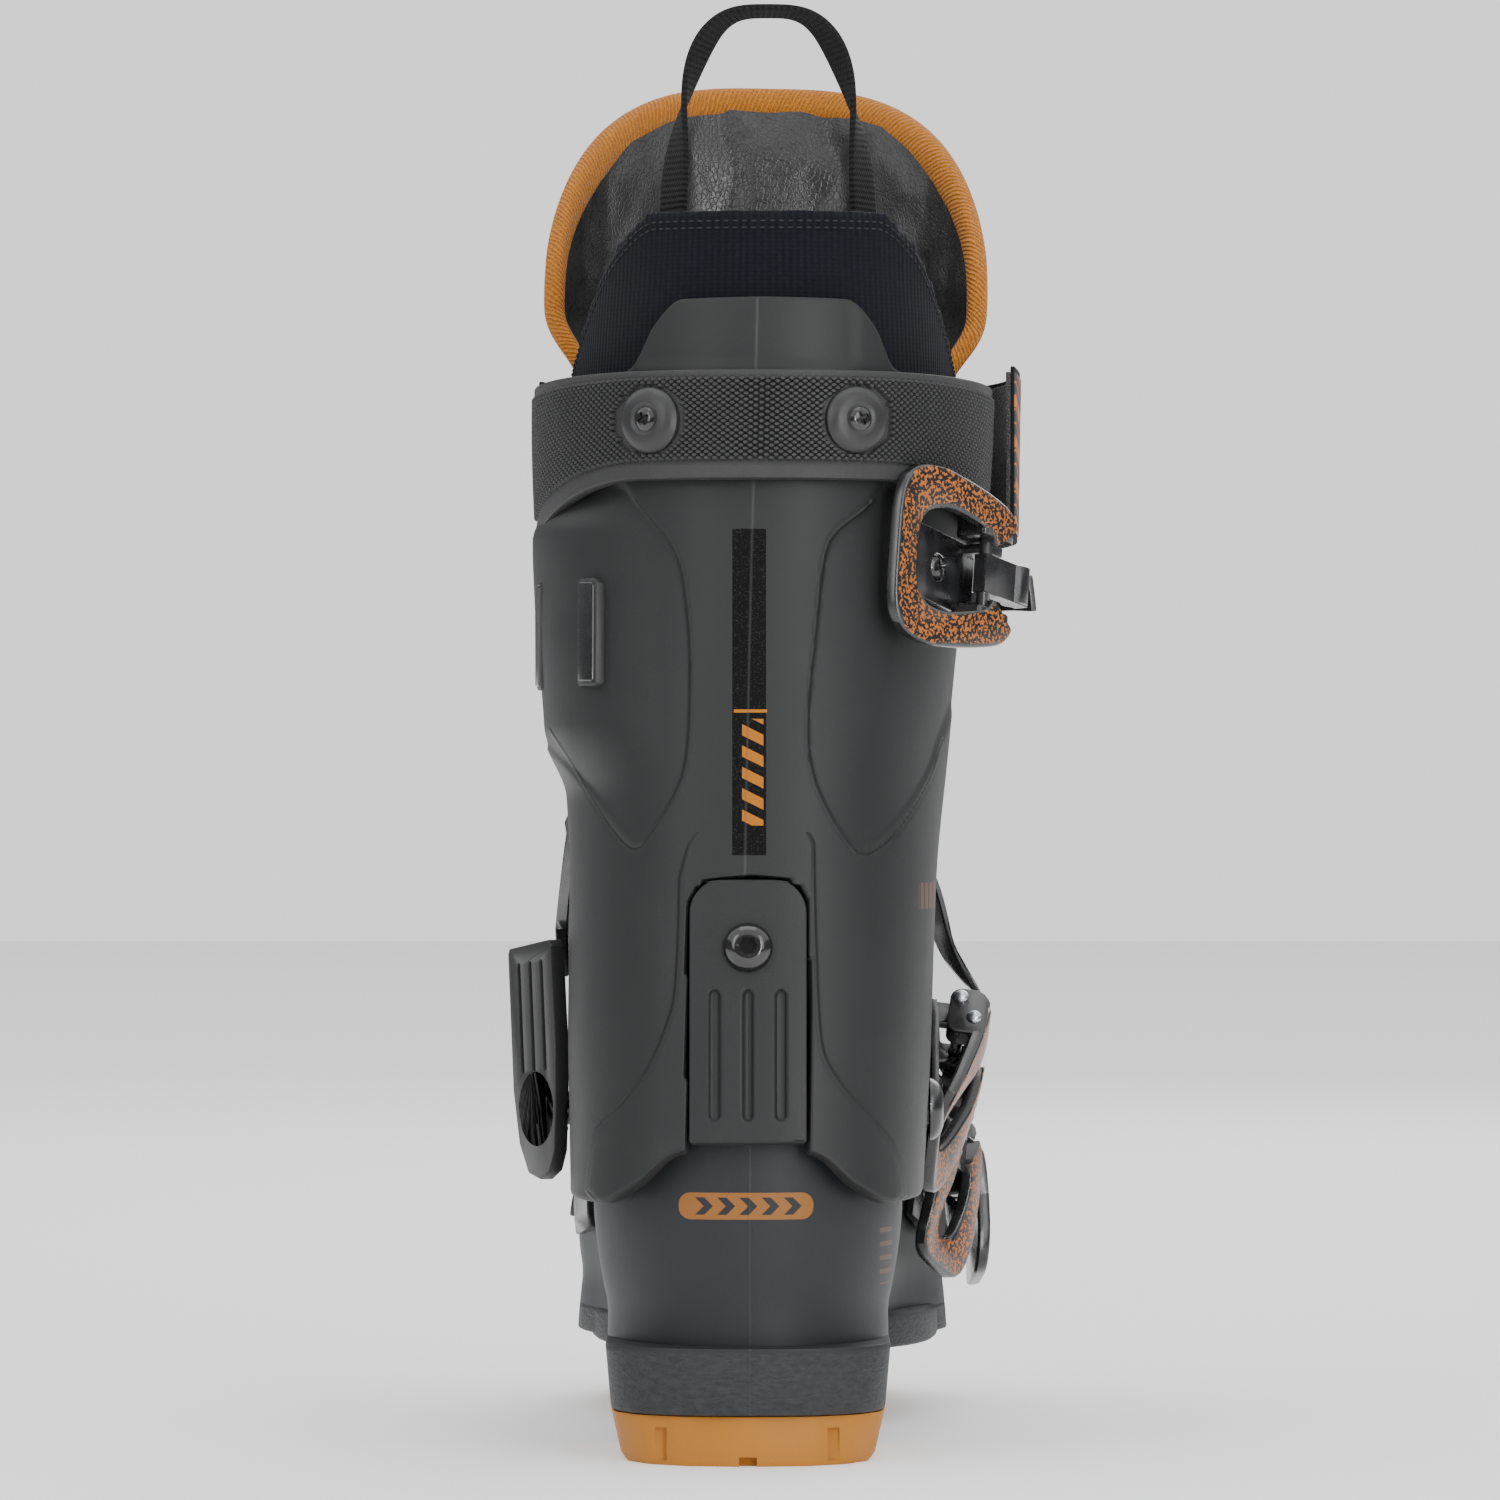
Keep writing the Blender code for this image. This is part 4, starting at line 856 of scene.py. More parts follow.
def webbing_finish():
    """Woven tape: ribs across its run, each a row of fine threads."""
    made = Finish("webbing", (0.008, 0.008, 0.009), 0.85, Specular_IOR_Level=0.2, Sheen_Weight=0.03)
    along, around = made.run()
    rib = made.wave(along, 0.0015)
    thread = made.wave(around, 0.0009)
    height = made.math("MULTIPLY_ADD", made.times(rib, thread), 0.25, made.times(rib, 0.75))
    fuzz = made.noise(1400.0, 3.0)
    share = made.math("MULTIPLY_ADD", height, 0.3, made.times(fuzz, 0.9))
    made.colour(made.blend(share, (0.003, 0.003, 0.0035), (0.018, 0.018, 0.019)))
    made.bump(height, 0.00035, 0.9)
    made.bump(fuzz, 0.00010, 0.6)
    return made.material


KNIT_PITCH = 0.0013
LEG_RADIUS = 0.060


def knit_finish():
    """Neoprene faced with a fine knit whose ribs run up the leg, blue-black."""
    made = Finish("liner_fabric", (0.006, 0.006, 0.010), 0.9, Specular_IOR_Level=0.15, Sheen_Weight=0.03)
    x, y, z = made.parts()[:]
    around = made.math("ARCTAN2", made.math("SUBTRACT", x, 0.004), made.math("SUBTRACT", 0.085, y))
    wale = made.wave(around, KNIT_PITCH / LEG_RADIUS)
    course = made.wave(z, 0.0011)
    height = made.math("MULTIPLY_ADD", course, 0.35, wale)
    fuzz = made.noise(1500.0, 3.0)
    share = made.math("MULTIPLY_ADD", height, 0.22, fuzz)
    made.colour(made.blend(share, (0.0022, 0.0024, 0.0045), (0.0085, 0.0090, 0.0150)))
    made.bump(height, 0.00012, 0.5)
    made.bump(fuzz, 0.00010, 0.5)
    return made.material


def leather_finish():
    """Black synthetic leather with a pebbled grain."""
    made = Finish("tongue_leather", (0.014, 0.014, 0.015), 0.42, Specular_IOR_Level=0.55)
    pebble = made.cells(820.0, "SMOOTH_F1", (1.0, 1.0, 0.72))
    crease = made.ramp(made.cells(820.0, "DISTANCE_TO_EDGE", (1.0, 1.0, 0.72)), 0.0, 0.16)
    cloud = made.noise(45.0, 3.0)
    made.colour(made.blend(crease, (0.006, 0.006, 0.007), (0.021, 0.021, 0.022)))
    made.rough(made.ramp(cloud, 0.3, 0.7, 0.30, 0.42))
    made.bump(crease, 0.00012, 0.45)
    made.bump(pebble, 0.00012, 0.35)
    return made.material


def rim_finish():
    """Brushed orange knit edging with ribs across its run."""
    made = Finish("rim_knit", (0.50, 0.17, 0.015), 0.85, Specular_IOR_Level=0.2, Sheen_Weight=0.12)
    along, around = made.run()
    wander = made.times(made.noise(190.0, 2.0), 0.0016)
    slant = made.math("ADD", along, made.math("MULTIPLY_ADD", around, 0.45, wander))
    rib = made.wave(slant, 0.0014)
    fuzz = made.noise(2100.0, 3.0, (1, 1, 1), 0.7)
    share = made.math("MULTIPLY_ADD", rib, 0.20, made.ramp(fuzz, 0.3, 0.72))
    made.colour(made.blend(share, (0.30, 0.085, 0.005), (0.62, 0.235, 0.026)))
    made.bump(rib, 0.00030, 0.8)
    made.bump(fuzz, 0.00022, 0.8)
    return made.material


def hook_finish():
    """Fuzzy hook-and-loop face of the strap's free end."""
    made = Finish("hook_and_loop", (0.010, 0.010, 0.011), 0.95, Sheen_Weight=0.4, Sheen_Roughness=0.6)
    tuft = made.cells(1300.0)
    fuzz = made.noise(2400.0, 4.0, (1, 1, 1), 0.75)
    made.colour(made.blend(fuzz, (0.003, 0.003, 0.003), (0.030, 0.030, 0.032)))
    made.bump(tuft, 0.0009, 1.0)
    made.bump(fuzz, 0.0006, 1.0)
    return made.material


def strap_print_finish():
    """Grey coated face of the strap's free end with plain orange stripes along it."""
    made = Finish("strap_print", (0.09, 0.09, 0.095), 0.5)
    _, y, z = made.parts()[:]
    slant = made.math("MULTIPLY_ADD", y, 0.35, z)
    stripe = made.dashes(slant, 0.0110, 0.30)
    thin = made.dashes(slant, 0.0037, 0.16)
    wear = made.ramp(made.noise(240.0, 4.0), 0.35, 0.55)
    mask = made.times(made.math("MAXIMUM", stripe, thin), wear)
    made.colour(made.blend(mask, (0.050, 0.050, 0.053), (0.60, 0.18, 0.04)))
    made.bump(mask, 0.00008, 0.5)
    return made.material


def thread_finish():
    made = Finish("sewing_thread", (0.012, 0.012, 0.016), 0.7)
    fine = made.noise(2500.0, 2.0)
    made.colour(made.blend(fine, (0.004, 0.004, 0.006), (0.016, 0.016, 0.021)))
    made.bump(fine, 0.0001, 0.6)
    return made.material


CUFF_PLASTIC = cuff_finish()
SHELL_PLASTIC = shell_finish()
PLATE_PLASTIC = plain_cuff_finish()
TAN = tan_finish()
COATED = coated_finish()
GLOSS = coated_finish("black_gloss", (0.008, 0.008, 0.008), 0.10, 0.20)
BLACK_PLASTIC = moulded_black()
ZINC = zinc_finish()
SPECKLE = speckle_finish()
BAND = band_finish()
WEBBING = webbing_finish()
KNIT = knit_finish()
LEATHER = leather_finish()
RIM = rim_finish()
HOOKS = hook_finish()
STRAP_PRINT = strap_print_finish()
THREAD = thread_finish()


# ---------------------------------------------------------------- lower shell and sole


def shell_wall():
    """Fine wall of the lower shell, open at its top."""
    levels = [mix(0.022, 0.155, i / 46) for i in range(47)]
    grid = np.array([[tuple(p) for p in reversed(shell_ring(z, 0.0, 46))] for z in levels])
    faces = grid_faces(len(levels), grid.shape[1], wrap=True)
    faces.append(tuple(range(grid.shape[1])))
    wall = grid_object("lower_shell_wall", grid, faces, SHELL_PLASTIC)
    return bevelled(walled(wall, SHELL_WALL), 0.0009, 2, 60.0)


def sole_block(name, levels, rear, front, rear_round, front_round, edge):
    """Sole block through (height, half-width) levels, with its edges rounded."""
    rings = []
    for z, half in levels:
        lateral, medial = [], []
        for i in range(41):
            y = mix(rear, front, (1 - math.cos(math.pi * i / 40)) / 2)
            wide = half * round_end(y - rear, rear_round, 2.4) * round_end(front - y, front_round, 2.4)
            lateral.append(Vector((wide, y, z)))
            if wide > 1e-6:
                medial.append(Vector((-wide, y, z)))
        rings.append(lateral + medial[::-1])
    block = recalculated(skin(name, rings, SHELL_PLASTIC))
    return bevelled(block, edge, 2, 50.0) if edge else block


WELT_CENTRE = (0.0045, 0.158)
WELT_HALF = (0.0475, 0.078)
WELT_EDGE = ((0.0205, 0.0012), (0.0212, 0.0003), (0.0225, 0.0), (0.0275, 0.0), (0.0288, 0.0004),
             (0.0297, 0.0018))


def welt():
    """Rounded edge that runs round the forefoot, through (height, inset) levels."""
    rings = []
    for z, inset in WELT_EDGE:
        ring = []
        for i in range(120):
            turn = math.tau * i / 120
            x = WELT_CENTRE[0] + (WELT_HALF[0] - inset) * signed_power(math.cos(turn), 0.8)
            y = WELT_CENTRE[1] + (WELT_HALF[1] - inset) * signed_power(math.sin(turn), 0.8)
            ring.append(Vector((x, y, z)))
        rings.append(ring)
    return skin("welt", rings, SHELL_PLASTIC)


def shell_point(y, angle, out=0.0):
    """Outer face of the lower shell round the instep: 0 is the outer side, 90 the top, 180 the inner side."""
    power = SHELL_SQUARE(y)
    turn = math.radians(angle)
    z = SHELL_ROOF(y) * abs(math.sin(turn)) ** (2 / power)
    point = Vector((SHELL_SHIFT(y) + math.copysign(shell_half(y, z), math.cos(turn)), y, z))
    if not out:
        return point
    around = shell_point(y, angle + 1) - shell_point(y, angle - 1)
    length = shell_point(y + 0.002, angle) - shell_point(y - 0.002, angle)
    normal = around.cross(length).normalized()
    return point + normal * (out if normal.dot(point - Vector((0, y, 0.03))) > 0 else -out)


def instep_flap():
    """Outer half of the shell lapped over the inner one; its outer edge runs out into the wall."""
    rows = []
    for i in range(49):
        y = mix(0.112, 0.212, i / 48)
        row = []
        for j in range(29):
            angle = mix(48.0, 112.0 + 5.0 * math.sin(math.pi * i / 48), j / 28)
            out = mix(-0.0016, 0.0013, ease(j / 16)) - 0.0024 * (1 - ease(min(i, 48 - i) / 7))
            row.append(tuple(shell_point(y, angle, out)))
        rows.append(row)
    flap = grid_object("instep_flap", np.array(rows), grid_faces(49, 29), SHELL_PLASTIC)
    return bevelled(recalculated(walled(flap, 0.0020, 0.0)), 0.0005, 2, 60.0)


def make_lower_shell():
    parts = (shell_wall(),
             sole_block("heel_lug", ((0.0128, 0.035), (0.0300, 0.0365)), -0.045, 0.036, 0.032, 0.0, 0.0009),
             sole_block("arch", ((0.018, 0.0335), (0.0285, 0.036)), 0.020, 0.150, 0.0, 0.0, 0.0006),
             sole_block("toe_lug", ((0.0103, 0.0335), (0.0190, 0.0345)), 0.132, 0.262, 0.0, 0.034, 0.0007),
             sole_block("toe_base", ((0.0155, 0.0347), (0.0275, 0.0347)), 0.1335, 0.2462, 0.0, 0.034, 0.0),
             welt(), instep_flap())
    shell = shade(joined(*parts), 38.0)
    shell.name = "lower_shell_look"
    return finished(shell, "shell_plastic", "lower_shell")


def make_sole():
    for node in ("heel_pad", "toe_pad"):
        finished(refined(node, node + "_look", TAN, 0.0009, 2, 30.0), "tan_rubber", node)
    for end in ("heel", "toe"):
        for side in ("inner", "outer"):
            node = f"{end}_pad_screw_{side}"
            finished(refined(node, node + "_look", COATED, 0.0002), "black_metal", node)


# ---------------------------------------------------------------- cuff

# Outlines of the back's panels, (x, z) in millimetres; their corners are cut round below
LATERAL_CREASE = ((32.2, 243.6), (21.9, 236.5), (19.1, 229.7), (17.1, 208.8), (15.4, 195.0),
                  (14.9, 181.1), (17.1, 171.5), (20.9, 163.7), (26.2, 155.9), (28.7, 153.5),
                  (34.0, 155.9), (40.8, 163.0), (47.9, 174.3), (50.4, 182.9), (60.0, 205.0),
                  (75.0, 205.0), (75.0, 252.0), (36.0, 252.0))
MEDIAL_CREASE = ((-28.5, 243.6), (-17.6, 231.5), (-15.1, 214.9), (-14.4, 200.2), (-15.1, 177.6),
                 (-18.9, 168.0), (-24.2, 160.2), (-28.5, 154.2), (-34.5, 160.2), (-40.6, 169.0),
                 (-46.6, 178.6), (-56.0, 192.0), (-75.0, 205.0), (-75.0, 252.0), (-34.0, 252.0))
APRON = ((16.6, 165.0), (16.6, 144.0), (17.4, 120.0), (18.0, 109.0), (19.2, 102.5), (24.4, 94.7),
         (32.3, 87.0), (38.3, 79.0), (41.0, 60.0), (-42.0, 60.0), (-39.8, 82.6), (-36.3, 87.0),
         (-30.2, 93.0), (-24.2, 101.7), (-20.7, 110.0), (-17.6, 120.0), (-16.9, 165.0))
NOTCH_HALF = 0.0162
NOTCH_TOP = 0.1492
NOTCH_CORNER = 0.009
BULGE_DEPTH = 0.0056


def rounded_outline(points):
    """Closed outline in metres, its corners cut twice, from points in millimetres."""
    pts = np.array(points) / 1000
    for _ in range(2):
        ahead = np.roll(pts, -1, axis=0)
        pts = np.stack([0.75 * pts + 0.25 * ahead, 0.25 * pts + 0.75 * ahead], axis=1).reshape(-1, 2)
    return pts


def inside_depth(x, z, outline):
    """Signed distance to a closed outline, positive inside."""
    best = np.full(x.shape, 1e9)
    inside = np.zeros(x.shape, bool)
    for (ax, az), (bx, bz) in zip(outline, np.roll(outline, -1, axis=0)):
        dx, dz = bx - ax, bz - az
        t = np.clip(((x - ax) * dx + (z - az) * dz) / max(dx * dx + dz * dz, 1e-18), 0, 1)
        best = np.minimum(best, np.hypot(x - ax - t * dx, z - az - t * dz))
        crosses = (az > z) != (bz > z)
        inside ^= crosses & (x < ax + (z - az) * dx / (dz if dz else 1e-18))
    return np.where(inside, best, -best)


def cuff_relief(x, z, back):
    """How far the cuff's back stands out of its plain form at (x, z); back fades it to the front."""
    height = np.zeros(x.shape)
    for crease, depth, reach in ((LATERAL_CREASE, 0.0011, 0.026), (MEDIAL_CREASE, 0.0009, 0.022)):
        inner = inside_depth(x, z, rounded_outline(crease))
        height -= depth * eased((inner + 0.0004) / 0.0012) * (1 - eased((inner - 0.001) / reach))
    apron = inside_depth(x, z, rounded_outline(APRON))
    edge = eased((apron + 0.0008) / 0.0016)
    fade = 1 - eased((-apron - 0.002) / 0.022)
    height -= 0.0007 * (1 - edge) * fade * (1 - eased((z - 0.140) / 0.022))
    wide = eased((-0.022 - x) / 0.026)
    tall = eased((z - 0.168) / 0.019) * (1 - eased((z - 0.236) / 0.014))
    height += BULGE_DEPTH * wide * tall
    shelf = (1 - eased((np.abs(x) - 0.026) / 0.004)) * eased((z - 0.2787) / 0.0018)
    height -= 0.0005 * shelf
    return height * back


def notch_snapped(x, z):
    """Nearest place on the edge of the arch that the spine plate sits in."""
    if z <= NOTCH_TOP - NOTCH_CORNER:
        return math.copysign(NOTCH_HALF, x), z
    cx, cz = math.copysign(NOTCH_HALF - NOTCH_CORNER, x), NOTCH_TOP - NOTCH_CORNER
    if abs(x) <= NOTCH_HALF - NOTCH_CORNER:
        return x, NOTCH_TOP
    away = math.hypot(x - cx, z - cz)
    return cx + (x - cx) / away * NOTCH_CORNER, cz + (z - cz) / away * NOTCH_CORNER


def in_notch(x, z):
    centre_x, centre_z = NOTCH_HALF - NOTCH_CORNER, NOTCH_TOP - NOTCH_CORNER
    near = (np.abs(x) < NOTCH_HALF) & (z < NOTCH_TOP)
    beyond = (np.abs(x) > centre_x) & (z > centre_z)
    far = np.hypot(np.abs(x) - centre_x, z - centre_z) > NOTCH_CORNER
    return near & ~(beyond & far)


def cuff_grid():
    angles = [*np.linspace(FLAP_OVER_END, 88.0, 38), *np.linspace(90.0, 270.0, 201),
              *np.linspace(272.0, FLAP_UNDER_END, 35)]
    columns = []
    for angle in angles:
        apart = from_front(angle)
        low, high = cuff_s(CUFF_LOW(apart), angle), cuff_s(CUFF_HIGH(apart), angle)
        lift = flap_lift(angle)
        columns.append([tuple(cuff_point(mix(low, high, i / 158), angle, lift)) for i in range(159)])
    return np.array(angles), np.array(columns).transpose(1, 0, 2)


def make_cuff():
    angles, grid = cuff_grid()
    back = eased((angles - 78.0) / 22.0) * (1 - eased((angles - 268.0) / 26.0))
    grid += grid_normals(grid) * cuff_relief(grid[..., 0], grid[..., 2], back[None, :])[..., None]
    rear = (angles > 120) & (angles < 240)
    hidden = in_notch(grid[..., 0], grid[..., 2]) & rear[None, :]
    flat = hidden.reshape(-1)
    faces = [face for face in grid_faces(*grid.shape[:2]) if not all(flat[v] for v in face)]
    used = np.unique([v for face in faces for v in face if flat[v]])
    points = grid.reshape(-1, 3)
    for v in used:
        x, z = notch_snapped(points[v, 0], points[v, 2])
        points[v] = cuff_rear(x, z)
    cuff = grid_object("cuff_look", grid, faces, CUFF_PLASTIC)
    bevelled(walled(cuff, CUFF_WALL), 0.0007, 2, 60.0)
    mark_creases(cuff)
    return finished(shade(joined(cuff, *vent_tabs()), 40.0), "cuff_plastic", "cuff")


def mark_creases(cuff):
    """Stores each point's signed distance to the creases of its back, for the material's fine lines: a groove bump
    and painted shade along them.
    """
    points = positions(cuff.data)
    x, z = points[:, 0], points[:, 2]
    sides = [inside_depth(x, z, rounded_outline(crease)) for crease in (LATERAL_CREASE, MEDIAL_CREASE)]
    panels = np.maximum(*sides)
    apron = inside_depth(x, z, rounded_outline(APRON))
    for name, distance, top in (("panels", panels, 0.246), ("apron", apron, 0.160)):
        far = (points[:, 1] > 0.03) | (z > top)
        crease = cuff.data.attributes.new(name, "FLOAT", "POINT")
        crease.data.foreach_set("value", np.where(far, np.sign(distance), distance))


VENT_TABS = ((-0.0412, 0.1976, 0.2242, 0.0041, 0.0045), (-0.0545, 0.1970, 0.2240, 0.0032, 0.0055))


def vent_tabs():
    """Glossy inserts on the inner side, each in a shallow frame: x, foot, top, half width, standing out."""
    tabs = []
    for x, low, high, half, out in VENT_TABS:
        point, across, rise, outward = rear_frame(x, (low + high) / 2, out)
        tall = (high - low) / 2
        for name, grow, foot, top, material in (("tab_frame", 0.0011, -0.0030, 0.0003, BLACK_PLASTIC),
                                                ("tab", 0.0, -0.0020, 0.0009, GLOSS)):
            outline = round_box(half + grow, tall + grow, 0.0009 + grow * 0.5)
            tab = bevelled(prism(name, outline, foot, top, material), 0.0003, 2, 40.0)
            tabs.append(moved(tab, placed(point, across, rise, outward)))
    return tabs


def round_box(half, tall, corner, steps=5):
    """Outline of a rectangle with round corners, anticlockwise."""
    points = []
    for cx, cy, start in ((1, 1, 0), (-1, 1, 90), (-1, -1, 180), (1, -1, 270)):
        for i in range(steps + 1):
            turn = math.radians(start + 90 * i / steps)
            x = cx * (half - corner) + corner * math.cos(turn)
            points.append((x, cy * (tall - corner) + corner * math.sin(turn)))
    return points


PLATE_SLOTS = (-0.0084, 0.0, 0.0083)
PLATE_SLOT_LOW = 0.0885
PLATE_SLOT_HIGH = 0.1188
PLATE_SLOT_DEPTH = 0.0013
SPINE_BOLT_Z = 0.1307


def make_spine():
    """Plate at the foot of the cuff's back, with three slots, and the bolts of the back and ankles."""
    half, low, high, corner = 0.0150, 0.0818, 0.1480, 0.0085
    rows = []
    for i in range(151):
        z = mix(low, high, i / 150)
        over = max(0.0, z - (high - corner))
        narrow = half - corner + math.sqrt(max(corner**2 - over**2, 0.0)) if over else half
        row = []
        for j in range(71):
            x = mix(narrow, -narrow, j / 70)
            depth = 0.0
            for middle in PLATE_SLOTS:
                away = math.hypot(x - middle, max(0.0, PLATE_SLOT_LOW - z, z - PLATE_SLOT_HIGH))
                depth = max(depth, PLATE_SLOT_DEPTH * (1 - ease((away - 0.0009) / 0.0006)))
            row.append(tuple(cuff_rear(x, z, 0.0002 - depth)))
        rows.append(row)
    plate = grid_object("spine_plate_look", np.array(rows), grid_faces(151, 71), PLATE_PLASTIC)
    bevelled(walled(plate, CUFF_WALL - 0.0004), 0.0008, 3, 60.0)
    finished(shade(plate, 50.0), "cuff_plastic", "spine_plate")
    bolt = hex_bolt("spine_bolt_look", 0.0063, 0.0036, GLOSS)
    seat = cuff_rear(0, SPINE_BOLT_Z) + Vector((0, -0.0006, 0.0001))
    moved(bolt, facing(seat, (0, -0.985, 0.17)))
    finished(bolt, "black_metal", "spine_bolt")
    for side, name in ((-1, "inner"), (1, "outer")):
        bolt = hex_bolt(f"ankle_bolt_{name}_look", 0.0082, 0.0036 if side > 0 else 0.0050, COATED)
        x = cuff_point(0.0, 90.0 * side).x + side * 0.0004
        moved(bolt, facing(Vector((x, ANKLE.y, ANKLE.z)), (side, 0, 0), (0, 1, 0)))
        finished(bolt, "black_metal", "ankle_bolt_" + name)


def hex_bolt(name, radius, height, material):
    """Domed bolt head with a six-sided socket, standing on local Z = 0."""
    profile = [(0.0, height * 0.98), (radius * 0.50, height * 0.97), (radius * 0.56, height * 0.95),
               (radius * 0.75, height * 0.80), (radius * 0.92, height * 0.48), (radius * 0.99, height * 0.16),
               (radius, 0.0), (radius * 0.5, -0.0004), (radius * 0.5, -0.006), (0.0, -0.006)]
    head = turned(name, profile, 48, material)
    reach = radius * 0.38
    turns = [math.tau * i / 6 for i in range(6)]
    socket = [(reach * math.cos(turn), reach * math.sin(turn)) for turn in turns]
    tool = recalculated(prism("socket", socket, height * 0.25, height + 0.002, material))
    return shade(boolean(head, tool, "DIFFERENCE"), 32.0)


ANKLE_PLATE_CENTRE = (-0.0560, 0.0355, 0.0985)
ANKLE_PLATE_TURN = math.radians(26)
ANKLE_PLATE_RISE = (-0.155, 0.03, 0.987)
ANKLE_HOLE = 0.0093


def make_ankle_plate():
    """Stiffener on the inner ankle that carries the lower ladder: a leaned board with three slots."""
    outline = [(-0.0135, 0.030), (-0.0125, 0.0312), (0.0120, 0.0318), (0.0135, 0.030), (0.0140, 0.004),
               (0.0125, -0.012), (0.0105, -0.0230), (0.0070, -0.0280), (0.0010, -0.0300), (-0.0060, -0.0280),
               (-0.0110, -0.0200), (-0.0135, -0.006)]
    board = recalculated(prism("ankle_plate_look", outline, -0.0040, 0.0, BLACK_PLASTIC))
    for x in (-0.0070, 0.0, 0.0070):
        slot = round_box(0.00085, 0.0145, 0.0008, 3)
        tool = prism("slot", [(x + u, 0.0125 + v) for u, v in slot], -0.0013, 0.002, BLACK_PLASTIC)
        boolean(board, recalculated(tool), "DIFFERENCE")
    normal = Vector((-math.cos(ANKLE_PLATE_TURN), -math.sin(ANKLE_PLATE_TURN), 0.0))
    up = Vector(ANKLE_PLATE_RISE)
    up = (up - normal * up.dot(normal)).normalized()
    moved(board, placed(ANKLE_PLATE_CENTRE, up.cross(normal), up, normal))
    bore = ((0.0, 0.02), (ANKLE_HOLE, 0.02), (ANKLE_HOLE, -0.02), (0.0, -0.02))
    hole = turned("hole", bore, 40, BLACK_PLASTIC)
    moved(hole, facing(Vector((-0.052, ANKLE.y, ANKLE.z)), (-1, 0, 0), (0, 1, 0)))
    boolean(board, hole, "DIFFERENCE")
    bevelled(board, 0.0004, 2, 50.0)
    finished(shade(board, 35.0), "black_plastic", "ankle_plate_inner")


# ---------------------------------------------------------------- buckles

# Width and length of each lever
BUCKLES = {"upper_cuff": (0.047, 0.045), "lower_cuff": (0.034, 0.050), "instep": (0.034, 0.040),
           "toe": (0.032, 0.036)}
LINK_PIVOT = Vector((0.0, 0.0068, 0.0042))
LEVER_TOP = 0.0084
LEVER_DEPTH = 0.0036
RIVET_RADIUS = 0.0016
RIVET_HEAD = 0.0021
RIVET_REACH = 0.0150
# Section of the lever's loop, as (share from its outer to its inner edge, share of its height)
LOOP_SECTION = ((0.0, 0.18), (0.0, 0.78), (0.035, 0.93), (0.10, 1.0), (0.90, 1.0), (0.965, 0.93),
                (1.0, 0.78), (1.0, 0.18), (0.94, 0.0), (0.06, 0.0))


def buckle_frame(name):
    """Matrix of the lever: origin on its pin, X along the pin, Y towards the tip, Z away from the boot."""
    joints = {joint["name"]: joint for joint in frame["joints"]}
    lever, link, hook = (joints[f"{name}_{end}"] for end in ("lever_turn", "link_turn", "arm_swing"))
    x = Vector(lever["axis"]).normalized()
    y = Vector(link["pos_m"]) - Vector(hook["pos_m"])
    y = (y - x * y.dot(x)).normalized()
    return placed(lever["pos_m"], x, y, x.cross(y))


def lever_loop(name, half, length):
    """U-shaped loop with a rounded section; its top face carries the speckle."""
    centre = length / 2 - 0.003
    rings = []
    start, end, steps = -62.0, 242.0, 84
    for i in range(steps + 1):
        turn = math.radians(mix(start, end, i / steps))
        outer = Vector((half * signed_power(math.cos(turn), 0.42),
                        length / 2 * signed_power(math.sin(turn), 0.42), 0))
        inner = Vector(((half - 0.0100) * signed_power(math.cos(turn), 0.55),
                        (length / 2 - 0.0090) * signed_power(math.sin(turn), 0.55), 0))
        narrow = mix(0.80, 1.0, ease((outer.y / length + 0.5) / 0.75))
        outer.x *= narrow
        inner.x *= narrow
        y = centre + (outer.y + inner.y) / 2
        drop = y * y / 0.2
        ring = []
        for along, height in LOOP_SECTION:
            flat = outer.lerp(inner, along)
            ring.append(Vector((flat.x, centre + flat.y, LEVER_TOP - LEVER_DEPTH * (1 - height) - drop)))
        rings.append(ring)
    loop = skin(name, rings, COATED, SPECKLE)
    for face in loop.data.polygons:
        face.material_index = 1 if face.normal.z > 0.93 else 0
    return loop


def lever_cheek(side):
    """Fork of the lever that holds its pin and the link's pin."""
    outline = []
    low, high, back, tip = -0.0028, LEVER_TOP - 0.0008, -0.0035, 0.0125
    corners = ((back + 0.0034, low + 0.0034, 180, 0.0034), (tip - 0.003, low + 0.003, 270, 0.003),
               (tip - 0.0012, high - 0.0012, 0, 0.0012), (back + 0.0045, high - 0.0045, 90, 0.0045))
    for cy, cz, start, radius in corners:
        for i in range(7):
            turn = math.radians(start + 15 * i)
            outline.append((cy + radius * math.cos(turn), cz + radius * math.sin(turn)))
    cheek = prism("cheek", outline, -0.0027, 0.0027, COATED)
    upright = Matrix(((0, 0, 1), (1, 0, 0), (0, 1, 0))).to_4x4()
    moved(cheek, Matrix.Translation((side * 0.0120, 0, 0)) @ upright)
    return bevelled(recalculated(cheek), 0.0006, 2, 40.0)


def make_lever(name):
    width, length = BUCKLES[name]
    loop = recalculated(lever_loop(name + "_lever_look", width / 2, length))
    lever = joined(loop, lever_cheek(-1), lever_cheek(1))
    moved(shade(lever, 38.0), buckle_frame(name))
    return finished(lever, "speckle_paint", name + "_lever")


def rivet_rod(name):
    """Round pin along X with a domed head at each end."""
    head, reach = RIVET_HEAD, RIVET_REACH
    profile = [(0.0, reach + 0.0013), (head * 0.55, reach + 0.0011), (head * 0.9, reach + 0.0005),
               (head, reach), (head, reach - 0.0003), (RIVET_RADIUS, reach - 0.0003)]
    profile += [(r, -z) for r, z in reversed(profile)]
    rod = turned(name, profile, 24, ZINC)
    return moved(rod, Matrix.Rotation(math.pi / 2, 4, "Y"))


